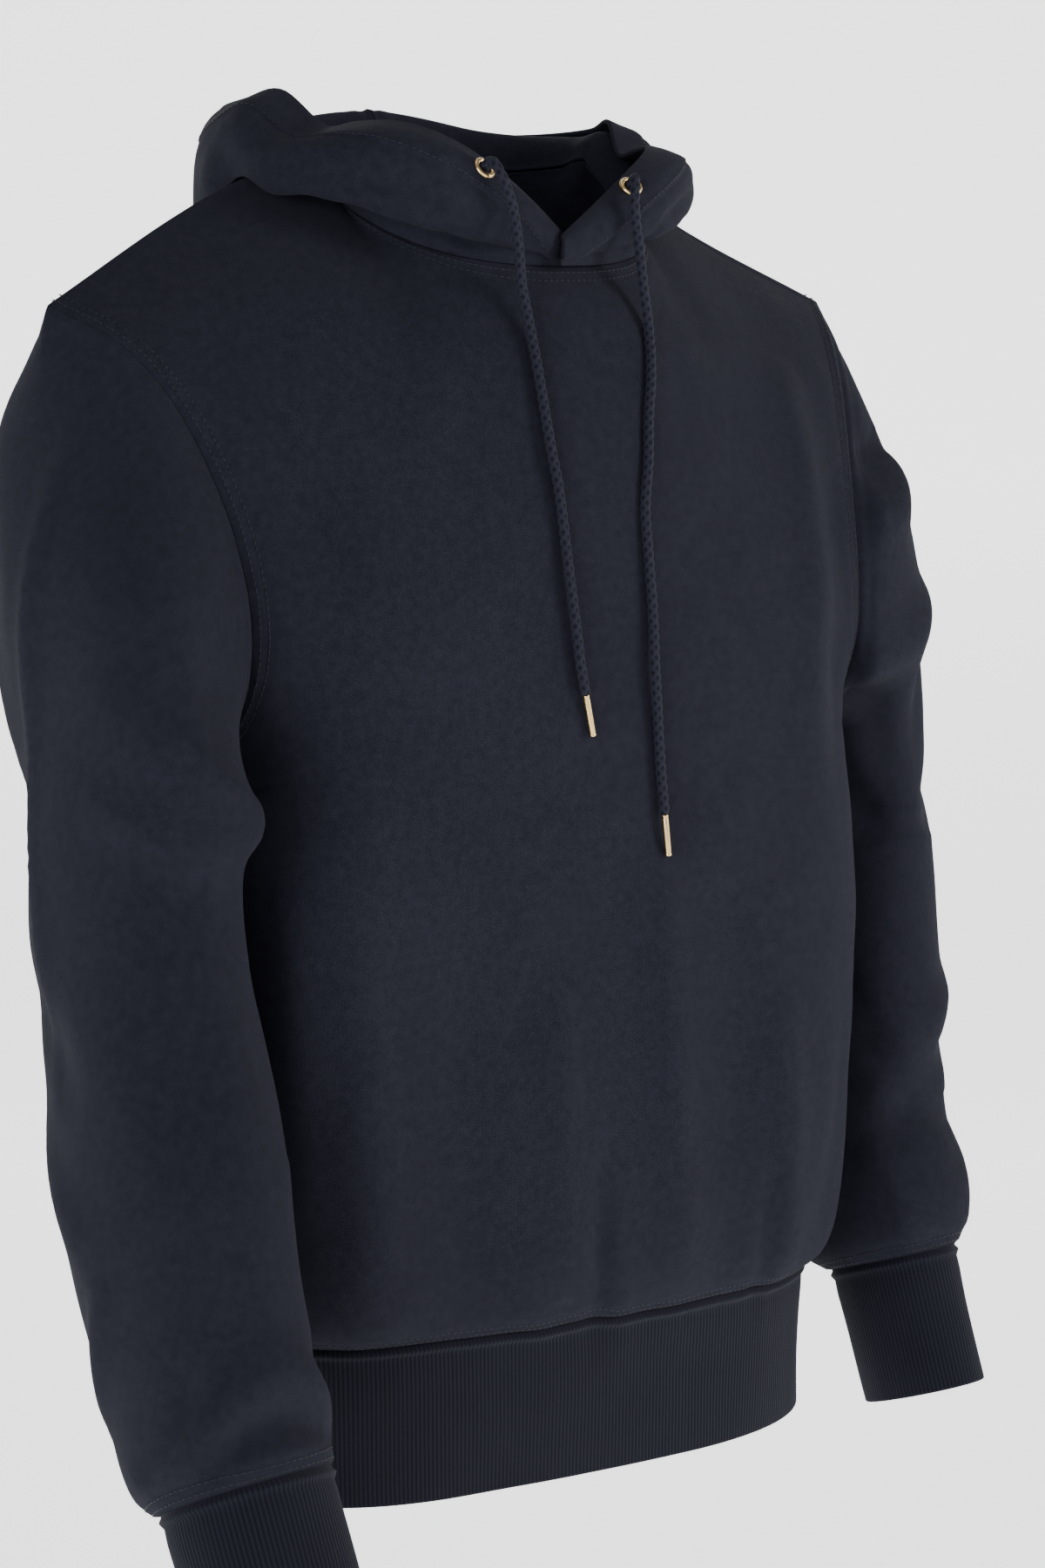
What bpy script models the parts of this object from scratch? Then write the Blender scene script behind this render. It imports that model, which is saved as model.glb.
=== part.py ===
"""Pullover hoodie, worn open and hollow, with its drawcord ends hanging.

Metres, +Z up. +X is the wearer's left, -Y the front. The origin is the centre of the neck
opening, level with the tops of the shoulder seams. Every cloth piece is a grid of points on
its outer face, given a wall on the inside. Pieces that are sewn together share a seam line.
"""
import math

import bpy
import numpy as np

for old in list(bpy.data.objects):
    bpy.data.objects.remove(old, do_unlink=True)

# Cloth
FLEECE = 0.0022
RIB = 0.0020
HOOD_CLOTH = 0.0024
SEAM_GAP = 0.0003

# Neck opening
NECK_HALF_WIDTH = 0.088
NECK_MID_Y = 0.005
NECK_FRONT = (-0.086, -0.052)
NECK_BACK = (0.068, -0.003)
NECK_SIDE_HEIGHT = 0.003
NECK_SQUARENESS = 2.6
NECK_DIP = 0.7

# The hem seam slopes down a little to the wearer's left
HEM_SLOPE = -0.062
SLOPE_TOP = -0.36

# Level sections of the body, hem seam to underarm
BODY_SECTIONS = (
    # height, half width, front depth, back depth, front squareness, back squareness
    (-0.577, 0.1920, 0.1180, 0.1100, 3.2, 2.6),
    (-0.567, 0.1960, 0.1260, 0.1160, 3.6, 2.7),
    (-0.545, 0.1955, 0.1320, 0.1190, 4.2, 2.8),
    (-0.500, 0.1945, 0.1360, 0.1180, 4.8, 2.8),
    (-0.420, 0.1940, 0.1370, 0.1160, 5.0, 2.8),
    (-0.350, 0.1945, 0.1360, 0.1150, 4.8, 2.8),
    (-0.300, 0.1960, 0.1340, 0.1150, 4.2, 2.8),
)

# Rows from the underarm to the shoulder: centre line, armhole edge and squareness
FRONT_RISE = (
    # centre y, centre z, edge x, edge y, edge z, squareness
    (-0.1340, -0.300, 0.1960, 0.000, -0.300, 4.2),
    (-0.1345, -0.272, 0.1960, -0.056, -0.288, 3.8),
    (-0.1340, -0.240, 0.1910, -0.092, -0.255, 3.4),
    (-0.1320, -0.205, 0.1890, -0.099, -0.214, 3.1),
    (-0.1270, -0.165, 0.1935, -0.089, -0.168, 2.8),
    (-0.1190, -0.125, 0.2035, -0.071, -0.127, 2.6),
    (-0.1060, -0.086, 0.2175, -0.048, -0.094, 2.5),
    (-0.0860, -0.052, 0.2400, -0.007, -0.070, 2.4),
)
BACK_RISE = (
    # centre y, centre z, edge x, edge y, edge z, squareness
    (0.1150, -0.300, 0.1960, 0.000, -0.300, 2.8),
    (0.1170, -0.270, 0.1925, 0.044, -0.286, 2.8),
    (0.1180, -0.235, 0.1870, 0.070, -0.250, 2.8),
    (0.1170, -0.195, 0.1860, 0.076, -0.205, 2.7),
    (0.1120, -0.150, 0.1930, 0.069, -0.160, 2.6),
    (0.1030, -0.100, 0.2070, 0.052, -0.118, 2.5),
    (0.0880, -0.050, 0.2220, 0.030, -0.089, 2.4),
    (0.0680, -0.003, 0.2400, -0.007, -0.070, 2.4),
)
SHOULDER_CROWN = 0.001
SHOULDER_UNEVEN = 0.008
SHOULDER_REACH = -0.12
SIDE_PULL = 3.0
RISE_PULL = 1.5
SPREAD_STEPS = 14
CHEST_SPAN = 0.215

# Grid of the body panels
BODY_ROWS = 7
RISE_ROWS = 10
NECK_COLUMNS = 7
HALF_COLUMNS = 14

# Rings of each sleeve below its cap
SLEEVE_RINGS_RIGHT = (
    # x, y, z, across, fore and aft, outer rise, forward lean in degrees
    (-0.2395, -0.0780, -0.288, 0.0395, 0.0790, 0.026, 10.0),
    (-0.2405, -0.0760, -0.340, 0.0410, 0.0640, 0.016, 12.0),
    (-0.2410, -0.0900, -0.400, 0.0440, 0.0690, 0.008, 14.0),
    (-0.2410, -0.1070, -0.460, 0.0450, 0.0690, 0.003, 18.0),
    (-0.2400, -0.1210, -0.520, 0.0445, 0.0640, 0.000, 22.0),
    (-0.2380, -0.1380, -0.570, 0.0435, 0.0580, 0.000, 26.0),
    (-0.2360, -0.1500, -0.594, 0.0430, 0.0500, 0.000, 28.0),
    (-0.2345, -0.1570, -0.601, 0.0400, 0.0400, 0.000, 28.0),
)
SLEEVE_RINGS_LEFT = (
    # x, y, z, across, fore and aft, outer rise, forward lean in degrees
    (0.2410, -0.0110, -0.288, 0.0420, 0.0740, 0.026, 2.0),
    (0.2430, -0.0160, -0.340, 0.0420, 0.0690, 0.016, 3.0),
    (0.2440, -0.0220, -0.400, 0.0430, 0.0680, 0.008, 5.0),
    (0.2455, -0.0280, -0.460, 0.0445, 0.0670, 0.003, 8.0),
    (0.2465, -0.0360, -0.520, 0.0450, 0.0640, 0.000, 13.0),
    (0.2505, -0.0520, -0.575, 0.0430, 0.0590, 0.000, 18.0),
    (0.2510, -0.0620, -0.596, 0.0390, 0.0510, 0.000, 20.0),
    (0.2515, -0.0700, -0.604, 0.0310, 0.0400, 0.000, 21.0),
)
CAP_ROWS = 7
SLEEVE_ROWS = 11

# How the sleeve's cloth leaves the armhole: outward, forward and down, and more at the sides
CAP_OUT = 0.16
CAP_FLARE = 0.55
CAP_SWELL = 0.35
CAP_CLEAR = 0.90
CAP_DOWN = 0.95
CAP_DOWN_FLARE = 0.45

CUFF_LENGTH = 0.076
CUFF_TAPER = 0.95
HEM_LENGTH = 0.082
HEM_TAPER = 0.985

# Sections of a hood half, from the centre front round to the centre back
HOOD_SECTIONS = (
    # share of neck seam, stand, near, low, belly, rim out, rim up
    (0.00, 0.004, 0.001, 0.005, 0.002, 0.000, 0.014),
    (0.14, 0.010, 0.006, 0.014, 0.013, 0.001, 0.043),
    (0.26, 0.010, 0.015, 0.015, 0.022, 0.002, 0.052),
    (0.36, 0.012, 0.026, 0.008, 0.032, 0.002, 0.043),
    (0.46, 0.013, 0.034, -0.003, 0.042, 0.003, 0.027),
    (0.54, 0.013, 0.036, -0.012, 0.043, 0.010, 0.025),
    (0.62, 0.014, 0.037, -0.030, 0.044, 0.020, 0.024),
    (0.80, 0.022, 0.034, -0.104, 0.050, 0.040, 0.024),
    (0.91, 0.028, 0.038, -0.146, 0.080, 0.066, 0.024),
    (1.00, 0.030, 0.038, -0.158, 0.094, 0.078, 0.024),
)
HOOD_TILT = -0.05
HOOD_ROWS = 14
OVERLAP = 0.006
UNDERLAP = 0.001
LAP_LIFT = 0.0070
LAP_FADE = 0.10

# Drawcord, eyelets and tips; a place is a row and column of the hood half's own grid
EYELET_PLACE_RIGHT = (10.6, 2.2)
EYELET_PLACE_LEFT = (11.0, 1.8)
EYELET_RADIUS = 0.0046
EYELET_WIRE = 0.0013
EYELET_CLEAR = 0.0007
CORD_DIAMETER = 0.0052
CORD_CLEAR = 0.0005
CORD_OUT = 0.0075
CORD_STEP = 0.0105
TIP_GAP = 0.0004
TIP_LENGTH = 0.021
TIP_DIAMETER = 0.0034
CORD_ROUTE_RIGHT = (
    (-0.047, -0.100, -0.009),
    (-0.044, -0.102, -0.018),
    (-0.041, -0.102, -0.027),
    (-0.038, -0.102, -0.044),
    (-0.036, -0.102, -0.062),
    (-0.034, -0.105, -0.079),
    (-0.035, -0.116, -0.111),
    (-0.035, -0.123, -0.136),
    (-0.034, -0.128, -0.156),
    (-0.033, -0.132, -0.181),
    (-0.032, -0.135, -0.202),
    (-0.030, -0.137, -0.223),
    (-0.028, -0.138, -0.241),
    (-0.025, -0.138, -0.255),
)
CORD_ROUTE_LEFT = (
    (0.035, -0.100, -0.013),
    (0.033, -0.102, -0.022),
    (0.034, -0.102, -0.032),
    (0.036, -0.102, -0.043),
    (0.038, -0.103, -0.062),
    (0.040, -0.105, -0.083),
    (0.035, -0.113, -0.104),
    (0.028, -0.120, -0.125),
    (0.023, -0.126, -0.146),
    (0.018, -0.130, -0.167),
    (0.017, -0.134, -0.192),
    (0.018, -0.136, -0.217),
    (0.018, -0.138, -0.243),
    (0.020, -0.138, -0.268),
    (0.022, -0.138, -0.294),
    (0.024, -0.139, -0.318),
)

NAVY = (0.016, 0.020, 0.032, 1.0)
NAVY_RIB = (0.014, 0.018, 0.029, 1.0)
NAVY_CORD = (0.012, 0.015, 0.026, 1.0)
BRASS = (0.62, 0.44, 0.20, 1.0)


def material(name, color, roughness, metallic):
    """One Principled material."""
    made = bpy.data.materials.new(name)
    made.use_nodes = True
    shader = made.node_tree.nodes["Principled BSDF"]
    shader.inputs["Base Color"].default_value = color
    shader.inputs["Roughness"].default_value = roughness
    shader.inputs["Metallic"].default_value = metallic
    return made


def unit(vectors):
    """Vectors scaled to length one."""
    vectors = np.asarray(vectors, float)
    return vectors / np.linalg.norm(vectors, axis=-1, keepdims=True)


def smooth(table, places, marks=None):
    """Read a table's rows as smooth curves; its rows stand at the marks, or evenly, 0 to 1."""
    rows = np.asarray(table, float)
    marks = np.linspace(0, 1, len(rows)) if marks is None else np.asarray(marks, float)
    slopes = np.gradient(rows, marks, axis=0)
    low = np.clip(np.searchsorted(marks, places, side="right") - 1, 0, len(rows) - 2)
    step = (marks[low + 1] - marks[low])[:, None]
    part = (np.asarray(places, float) - marks[low])[:, None] / step
    rest = 1 - part
    return (rows[low] * rest ** 2 * (1 + 2 * part) + rows[low + 1] * part ** 2 * (1 + 2 * rest)
            + (slopes[low] * rest - slopes[low + 1] * part) * step * part * rest)


def even(points, count, inner=None):
    """A polyline's points again, evenly spaced, or with only its outer end stretched."""
    points = np.asarray(points, float)
    run = np.concatenate([[0], np.cumsum(np.linalg.norm(np.diff(points, axis=0), axis=1))])
    share = np.linspace(0, 1, count)
    marks = run[-1] * share
    if inner:
        marks = inner * share + (run[-1] - inner) * share ** 4
    return np.stack([np.interp(marks, run, points[:, k]) for k in range(points.shape[1])], axis=1)


def quarter(half_width, depth, squareness, edge_y=0.0):
    """A level section from the centre line (0, depth) to where it reaches edge_y."""
    stop = math.acos(min(1.0, max(0.0, edge_y / depth)) ** (squareness / 2))
    turn = np.linspace(0, stop, 240)
    x = half_width * np.sin(turn) ** (2 / squareness)
    y = depth * np.cos(turn) ** (2 / squareness)
    return np.stack([x, y], axis=1)


def hem_drop(x, z):
    """How much lower the tilted hem brings a point."""
    share = np.clip((z - SLOPE_TOP) / (BODY_SECTIONS[0][0] - SLOPE_TOP), 0, 1)
    return HEM_SLOPE * x * share


def neck_line(end, count):
    """The neck seam from the centre, front or back, round to the shoulder seam, x at left."""
    depth = end[0] - NECK_MID_Y
    plan = even(quarter(NECK_HALF_WIDTH, depth, NECK_SQUARENESS), count)
    fall = np.clip(plan[:, 1] / depth, 0, 1) ** NECK_DIP
    height = NECK_SIDE_HEIGHT + (end[1] - NECK_SIDE_HEIGHT) * fall
    return np.stack([plan[:, 0], plan[:, 1] + NECK_MID_Y, height], axis=1)


def shoulder_line(tip, count):
    """The shoulder seam from the neck seam to the armhole, with a slight crown."""
    start = np.array([NECK_HALF_WIDTH, NECK_MID_Y, NECK_SIDE_HEIGHT])
    share = np.linspace(0, 1, count)[:, None]
    line = start + (np.asarray(tip) - start) * share
    line[:, 2] += SHOULDER_CROWN * np.sin(np.pi * share[:, 0])
    return line


def rise_row(values, columns):
    """A row of half a panel between the underarm and the shoulder, before the neck shapes it."""
    centre_y, centre_z, edge_x, edge_y, edge_z, squareness = values
    reach = 1 - min(1.0, max(0.0, edge_y / centre_y)) ** squareness
    half_width = edge_x / reach ** (1 / squareness)
    plan = even(quarter(half_width, centre_y, squareness, edge_y), columns + 1, CHEST_SPAN)
    plan[-1] = edge_x, edge_y
    share = np.linspace(0, 1, columns + 1)
    height = centre_z + (edge_z - centre_z) * share ** 2
    return np.column_stack([plan, height])


def half_panel(rise, neck_end, depth_column, square_column):
    """Half a body panel, hem seam to neck and shoulder, centre line to side, x at left."""
    grid = []
    for values in smooth(BODY_SECTIONS, np.linspace(0, 1, BODY_ROWS)):
        depth = math.copysign(values[depth_column], neck_end[0])
        plan = even(quarter(values[1], depth, values[square_column]), HALF_COLUMNS + 1, CHEST_SPAN)
        grid.append(np.column_stack([plan, np.full(HALF_COLUMNS + 1, values[0])]))
    tip = np.array(rise[-1][2:5])
    top = np.concatenate([neck_line(neck_end, NECK_COLUMNS + 1),
                          shoulder_line(tip, HALF_COLUMNS - NECK_COLUMNS + 1)[1:]])
    shaping = top - rise_row(rise[-1], HALF_COLUMNS)
    for place in np.linspace(0, 1, RISE_ROWS)[1:]:
        row = rise_row(smooth(rise, [place])[0], HALF_COLUMNS)
        share = np.array([place ** SIDE_PULL, place ** SIDE_PULL, place ** RISE_PULL])
        grid.append(row + spread(shaping, 1 - place) * share)
    return np.array(grid)


def spread(shaping, distance):
    """The neck's shaping, spread sideways with distance below it."""
    spread_out = np.concatenate([shaping[1:2] * (-1, 1, 1), shaping])
    for _ in range(int(round(distance * SPREAD_STEPS))):
        inner = (spread_out[:-2] + 2 * spread_out[1:-1] + spread_out[2:]) / 4
        spread_out = np.concatenate([inner[1:2] * (-1, 1, 1), inner, spread_out[-1:]])
    return spread_out[1:]


def shoulder_lift(x, z):
    """The right shoulder's cloth stands up and the left one's sags, between neck and armhole."""
    along = np.clip((np.abs(x) - NECK_HALF_WIDTH) / (FRONT_RISE[-1][2] - NECK_HALF_WIDTH), 0, 1)
    share = np.clip(1 - z / SHOULDER_REACH, 0, 1)
    return -SHOULDER_UNEVEN * np.sign(x) * np.sin(np.pi * along) * share


def whole_panel(half):
    """Both halves of a panel, the wearer's right to left."""
    full = np.concatenate([half[:, :0:-1] * (-1, 1, 1), half], axis=1)
    full[..., 2] += hem_drop(full[..., 0], full[..., 2]) + shoulder_lift(full[..., 0], full[..., 2])
    return full


def normals(grid, closed):
    """Unit normals of a grid whose rows go up or down a piece; closed rows are rings."""
    if closed:
        along = np.roll(grid, -1, axis=1) - np.roll(grid, 1, axis=1)
    else:
        along = np.gradient(grid, axis=1)
    return unit(np.cross(along, np.gradient(grid, axis=0)))


def inset(grid, closed):
    """The grid drawn back from its seams by half the seam gap."""
    drawn = grid.copy()
    half = SEAM_GAP / 2
    drawn[0] += unit(grid[1] - grid[0]) * half
    drawn[-1] += unit(grid[-2] - grid[-1]) * half
    if not closed:
        drawn[:, 0] += unit(grid[:, 1] - grid[:, 0]) * half
        drawn[:, -1] += unit(grid[:, -2] - grid[:, -1]) * half
    return drawn


def wall(name, grid, facing, thickness, closed, finish):
    """A closed solid: the grid as outer face, an inner face behind it, and edges."""
    outer = inset(grid, closed)
    inner = outer - facing * thickness
    rows, columns = grid.shape[:2]
    points = np.concatenate([outer.reshape(-1, 3), inner.reshape(-1, 3)])
    behind = rows * columns
    faces = []
    spans = columns if closed else columns - 1

    def spot(row, column):
        return row * columns + column % columns

    for row in range(rows - 1):
        for column in range(spans):
            a, b = spot(row, column), spot(row, column + 1)
            c, d = spot(row + 1, column + 1), spot(row + 1, column)
            faces.append((a, b, c, d))
            faces.append((d + behind, c + behind, b + behind, a + behind))
    for column in range(spans):
        a, b = spot(0, column), spot(0, column + 1)
        faces.append((b, a, a + behind, b + behind))
        a, b = spot(rows - 1, column), spot(rows - 1, column + 1)
        faces.append((a, b, b + behind, a + behind))
    if not closed:
        for row in range(rows - 1):
            a, b = spot(row, 0), spot(row + 1, 0)
            faces.append((a, b, b + behind, a + behind))
            a, b = spot(row, columns - 1), spot(row + 1, columns - 1)
            faces.append((b, a, a + behind, b + behind))
    return solid(name, points, faces, finish)


def solid(name, points, faces, finish):
    """A mesh object from its points and faces, shaded smooth."""
    mesh = bpy.data.meshes.new(name)
    mesh.from_pydata([tuple(p) for p in points], [], faces)
    mesh.materials.append(finish)
    mesh.shade_smooth()
    mesh.set_sharp_from_angle(angle=math.radians(50))
    made = bpy.data.objects.new(name, mesh)
    bpy.context.scene.collection.objects.link(made)
    return made


def armhole_marks(side):
    """The armhole seam as (panel, row, column): shoulder, down the front, up the back."""
    underarm = BODY_ROWS - 1
    shoulder = underarm + RISE_ROWS - 1
    front_column = 0 if side < 0 else -1
    back_column = -1 if side < 0 else 0
    marks = [(0, row, front_column) for row in range(shoulder, underarm - 1, -1)]
    marks += [(1, row, back_column) for row in range(underarm + 1, shoulder)]
    return marks


def match_corners(facings, side):
    """Give the back panel the front's normals where both meet the armhole."""
    for row in (BODY_ROWS - 1, -1):
        facings[1][row, -1 if side < 0 else 0] = facings[0][row, 0 if side < 0 else -1]


def ring(values, side, turns):
    """A sleeve ring: turns are 0 outside, a quarter at the front, half inside."""
    x, y, z, across, deep, rise, lean = values
    lean = math.radians(lean)
    cosine, sine = np.cos(turns)[:, None], np.sin(turns)[:, None]
    outward = np.array([side, 0.0, 0.0])
    forward = np.array([0.0, -math.cos(lean), math.sin(lean)])
    up = np.array([0.0, 0.0, 1.0])
    return (np.array([x, y, z]) + across * cosine * outward + deep * sine * forward
            + rise * cosine * up)


def arm_axis(lean):
    """The direction down the arm, square to a ring with this lean."""
    lean = math.radians(lean)
    return np.array([0.0, -math.sin(lean), -math.cos(lean)])


def sleeve_grid(loop, rings, side):
    """A sleeve in rings, from its armhole to its cuff seam."""
    steps = np.linalg.norm(np.roll(loop, -1, axis=0) - loop, axis=1)
    under = RISE_ROWS - 1
    front_run = np.concatenate([[0], np.cumsum(steps[:under])])
    back_run = np.concatenate([[0], np.cumsum(steps[under:])])
    turns = np.pi * np.concatenate([front_run / front_run[-1],
                                    1 + back_run[1:-1] / back_run[-1]])
    loop = loop + np.array([side * SEAM_GAP / 2, 0.0, 0.0])
    first = ring(rings[0], side, turns)
    flare = np.abs(np.sin(turns))[:, None]
    outward, forward, down = np.diag([side, -1.0, -1.0])
    swell = CAP_SWELL * np.maximum(np.sin(turns), 0)[:, None]
    clear = CAP_CLEAR * np.maximum(-np.sin(turns), 0)[:, None]
    leave = unit(outward * (CAP_OUT + CAP_FLARE * flare + clear) + forward * swell
                 + down * (CAP_DOWN - CAP_DOWN_FLARE * flare))
    arrive = arm_axis(rings[0][6])
    span = np.linalg.norm(first - loop, axis=1, keepdims=True)
    grid = []
    for part in np.linspace(0, 1, CAP_ROWS)[:-1]:
        grid.append(loop * (1 - part) ** 2 * (1 + 2 * part) + first * part ** 2 * (3 - 2 * part)
                    + leave * span * part * (1 - part) ** 2
                    - arrive * span * part ** 2 * (1 - part))
    for values in smooth(rings, np.linspace(0, 1, SLEEVE_ROWS)):
        grid.append(ring(values, side, turns))
    grid = np.array(grid)
    return grid if side > 0 else grid[:, ::-1]


def tube_grid(edge, direction, length, taper, rows):
    """A rib tube that carries on from an edge loop."""
    centre = edge.mean(axis=0)
    grid = []
    for part in np.linspace(0, 1, rows):
        size = 1 + (taper - 1) * part
        grid.append(centre + (edge - centre) * size + direction * length * part)
    return np.array(grid)


def hood_section(values):
    """Offsets, out from the neck seam and up, through a hood half from seam to rim."""
    _, stand, near, low, belly, rim_out, rim_up = values
    climb = rim_up - low
    marks = (
        (0.0, 0.0),
        (near * 0.25, stand),
        (near * 0.80, stand * 0.75 + low * 0.05),
        (near * 1.05, low * 0.55 + stand * 0.20),
        (near + (belly - near) * 0.40, low),
        (belly, low + climb * 0.35),
        (belly * 0.80 + rim_out * 0.20, low + climb * 0.78),
        (rim_out, rim_up),
    )
    return smooth(marks, np.linspace(0, 1, 120))


def neck_loop():
    """Half the neck seam, front to back, its outward directions and its shares of length."""
    front = neck_line(NECK_FRONT, NECK_COLUMNS + 1)
    back = neck_line(NECK_BACK, NECK_COLUMNS + 1)[::-1]
    line = np.concatenate([front, back[1:]])
    run = np.gradient(line, axis=0)
    outward = unit(np.column_stack([run[:, 1], -run[:, 0], np.zeros(len(line))]))
    outward[0] = 0, -1, 0
    outward[-1] = 0, 1, 0
    length = np.concatenate([[0], np.cumsum(np.linalg.norm(np.diff(line, axis=0), axis=1))])
    return line, outward, length / length[-1]


def hood_grid(side, lap, lift):
    """A hood half: rows from the neck seam to the rim, columns along the neck seam."""
    line, outward, shares = neck_loop()
    marks = [row[0] for row in HOOD_SECTIONS]
    columns = []
    for point, out, share, values in zip(line, outward, shares,
                                         smooth(HOOD_SECTIONS, shares, marks)):
        front = max(0.0, 1 - share / LAP_FADE)
        offsets = even(hood_section(values), HOOD_ROWS)
        column = point + offsets[:, :1] * out
        column[:, 2] += offsets[:, 1] + SEAM_GAP
        tilt = HOOD_TILT * side * point[0]
        column[:, 2] += tilt * np.linspace(0, 1, HOOD_ROWS)
        columns.append(column + np.array([-lap, -lift, 0.0]) * front)
    grid = np.array(columns).transpose(1, 0, 2)
    return grid if side > 0 else (grid * (-1, 1, 1))[:, ::-1]


def hood_facing(grid, side):
    """The hood half's normals, square to the centre back seam where it meets it."""
    facing = normals(grid, False)
    seam = -1 if side > 0 else 0
    facing[:, seam, 0] = 0
    return unit(facing)


def shared(first, second):
    """The mean of two pieces' normals along their seam, unless the seam folds back."""
    total = first + second
    folds = np.linalg.norm(total, axis=-1, keepdims=True) < 0.9
    mean = total / np.maximum(np.linalg.norm(total, axis=-1, keepdims=True), 1e-6)
    return np.where(folds, first, mean), np.where(folds, second, mean)


def on_grid(grid, place):
    """A grid's value at a place between its rows and columns."""
    row, column = int(place[0]), int(place[1])
    down, across = place[0] - row, place[1] - column
    near = grid[row, column] * (1 - across) + grid[row, column + 1] * across
    far = grid[row + 1, column] * (1 - across) + grid[row + 1, column + 1] * across
    return near * (1 - down) + far * down


def frame_about(axis):
    """Two directions square to an axis and to each other."""
    side = unit(np.cross(axis, (0.0, 0.0, 1.0)))
    return side, np.cross(axis, side)


def turned(name, centre, axis, profile, segments, finish, ring_shaped):
    """A round solid from a profile of (radius, height) points along an axis."""
    side, up = frame_about(axis)
    count = len(profile)
    points = []
    for turn in np.linspace(0, 2 * np.pi, segments, endpoint=False):
        spoke = side * math.cos(turn) + up * math.sin(turn)
        points += [centre + spoke * radius + axis * height for radius, height in profile]
    faces = []
    for segment in range(segments):
        here, there = segment * count, (segment + 1) % segments * count
        for k in range(count if ring_shaped else count - 1):
            step = (k + 1) % count
            faces.append((here + k, there + k, there + step, here + step))
    if not ring_shaped:
        faces.append([segment * count for segment in range(segments)][::-1])
        faces.append([segment * count + count - 1 for segment in range(segments)])
    return solid(name, points, faces, finish)


def cord(name, points, finish):
    """A drawcord as a round tube along its points."""
    curve = bpy.data.curves.new(name, "CURVE")
    curve.dimensions = "3D"
    curve.bevel_depth = CORD_DIAMETER / 2
    curve.bevel_resolution = 2
    curve.use_fill_caps = True
    spline = curve.splines.new("POLY")
    spline.points.add(len(points) - 1)
    for knot, point in zip(spline.points, points):
        knot.co = (*point, 1.0)
    curve.materials.append(finish)
    made = bpy.data.objects.new(name, curve)
    bpy.context.scene.collection.objects.link(made)
    return made


fleece = material("navy_fleece", NAVY, 0.92, 0.0)
rib = material("navy_rib", NAVY_RIB, 0.9, 0.0)
cord_yarn = material("navy_cord", NAVY_CORD, 0.85, 0.0)
brass = material("brass", BRASS, 0.3, 1.0)

panels = [
    whole_panel(half_panel(FRONT_RISE, NECK_FRONT, 2, 4)),
    whole_panel(half_panel(BACK_RISE, NECK_BACK, 3, 5))[:, ::-1],
]
facings = [normals(panel, False) for panel in panels]
side_rows = slice(0, BODY_ROWS - 1)
for front_column, back_column in ((0, -1), (-1, 0)):
    pair = shared(facings[0][side_rows, front_column], facings[1][side_rows, back_column])
    facings[0][side_rows, front_column], facings[1][side_rows, back_column] = pair
for column in range(2 * HALF_COLUMNS + 1):
    if abs(column - HALF_COLUMNS) >= NECK_COLUMNS:
        pair = shared(facings[0][-1, column], facings[1][-1, -1 - column])
        facings[0][-1, column], facings[1][-1, -1 - column] = pair

for side, word, rings in ((-1, "right", SLEEVE_RINGS_RIGHT), (1, "left", SLEEVE_RINGS_LEFT)):
    marks = armhole_marks(side)
    loop = np.array([panels[panel][row, column] for panel, row, column in marks])
    grid = sleeve_grid(loop, rings, side)
    facing = normals(grid, True)
    order = list(range(len(marks))) if side > 0 else list(range(len(marks)))[::-1]
    for spot, (panel, row, column) in zip(order, marks):
        pair = shared(facings[panel][row, column], facing[0, spot])
        facings[panel][row, column], facing[0, spot] = pair
    match_corners(facings, side)
    cuff = tube_grid(grid[-1], arm_axis(rings[-1][6]), CUFF_LENGTH, CUFF_TAPER, 3)
    cuff_facing = normals(cuff, True)
    facing[-1], cuff_facing[0] = shared(facing[-1], cuff_facing[0])
    wall("sleeve_" + word, grid, facing, FLEECE, True, fleece)
    wall("cuff_" + word, cuff, cuff_facing, RIB, True, rib)

hem_edge = np.concatenate([panels[0][0], panels[1][0, 1:-1]])[::-1]
hem = tube_grid(hem_edge, np.array([0.0, 0.0, -1.0]), HEM_LENGTH, HEM_TAPER, 3)
hem_facing = normals(hem, True)
wall("hem_band", hem, hem_facing, RIB, True, rib)
wall("front_body", panels[0], facings[0], FLEECE, False, fleece)
wall("back_body", panels[1], facings[1], FLEECE, False, fleece)

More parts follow.
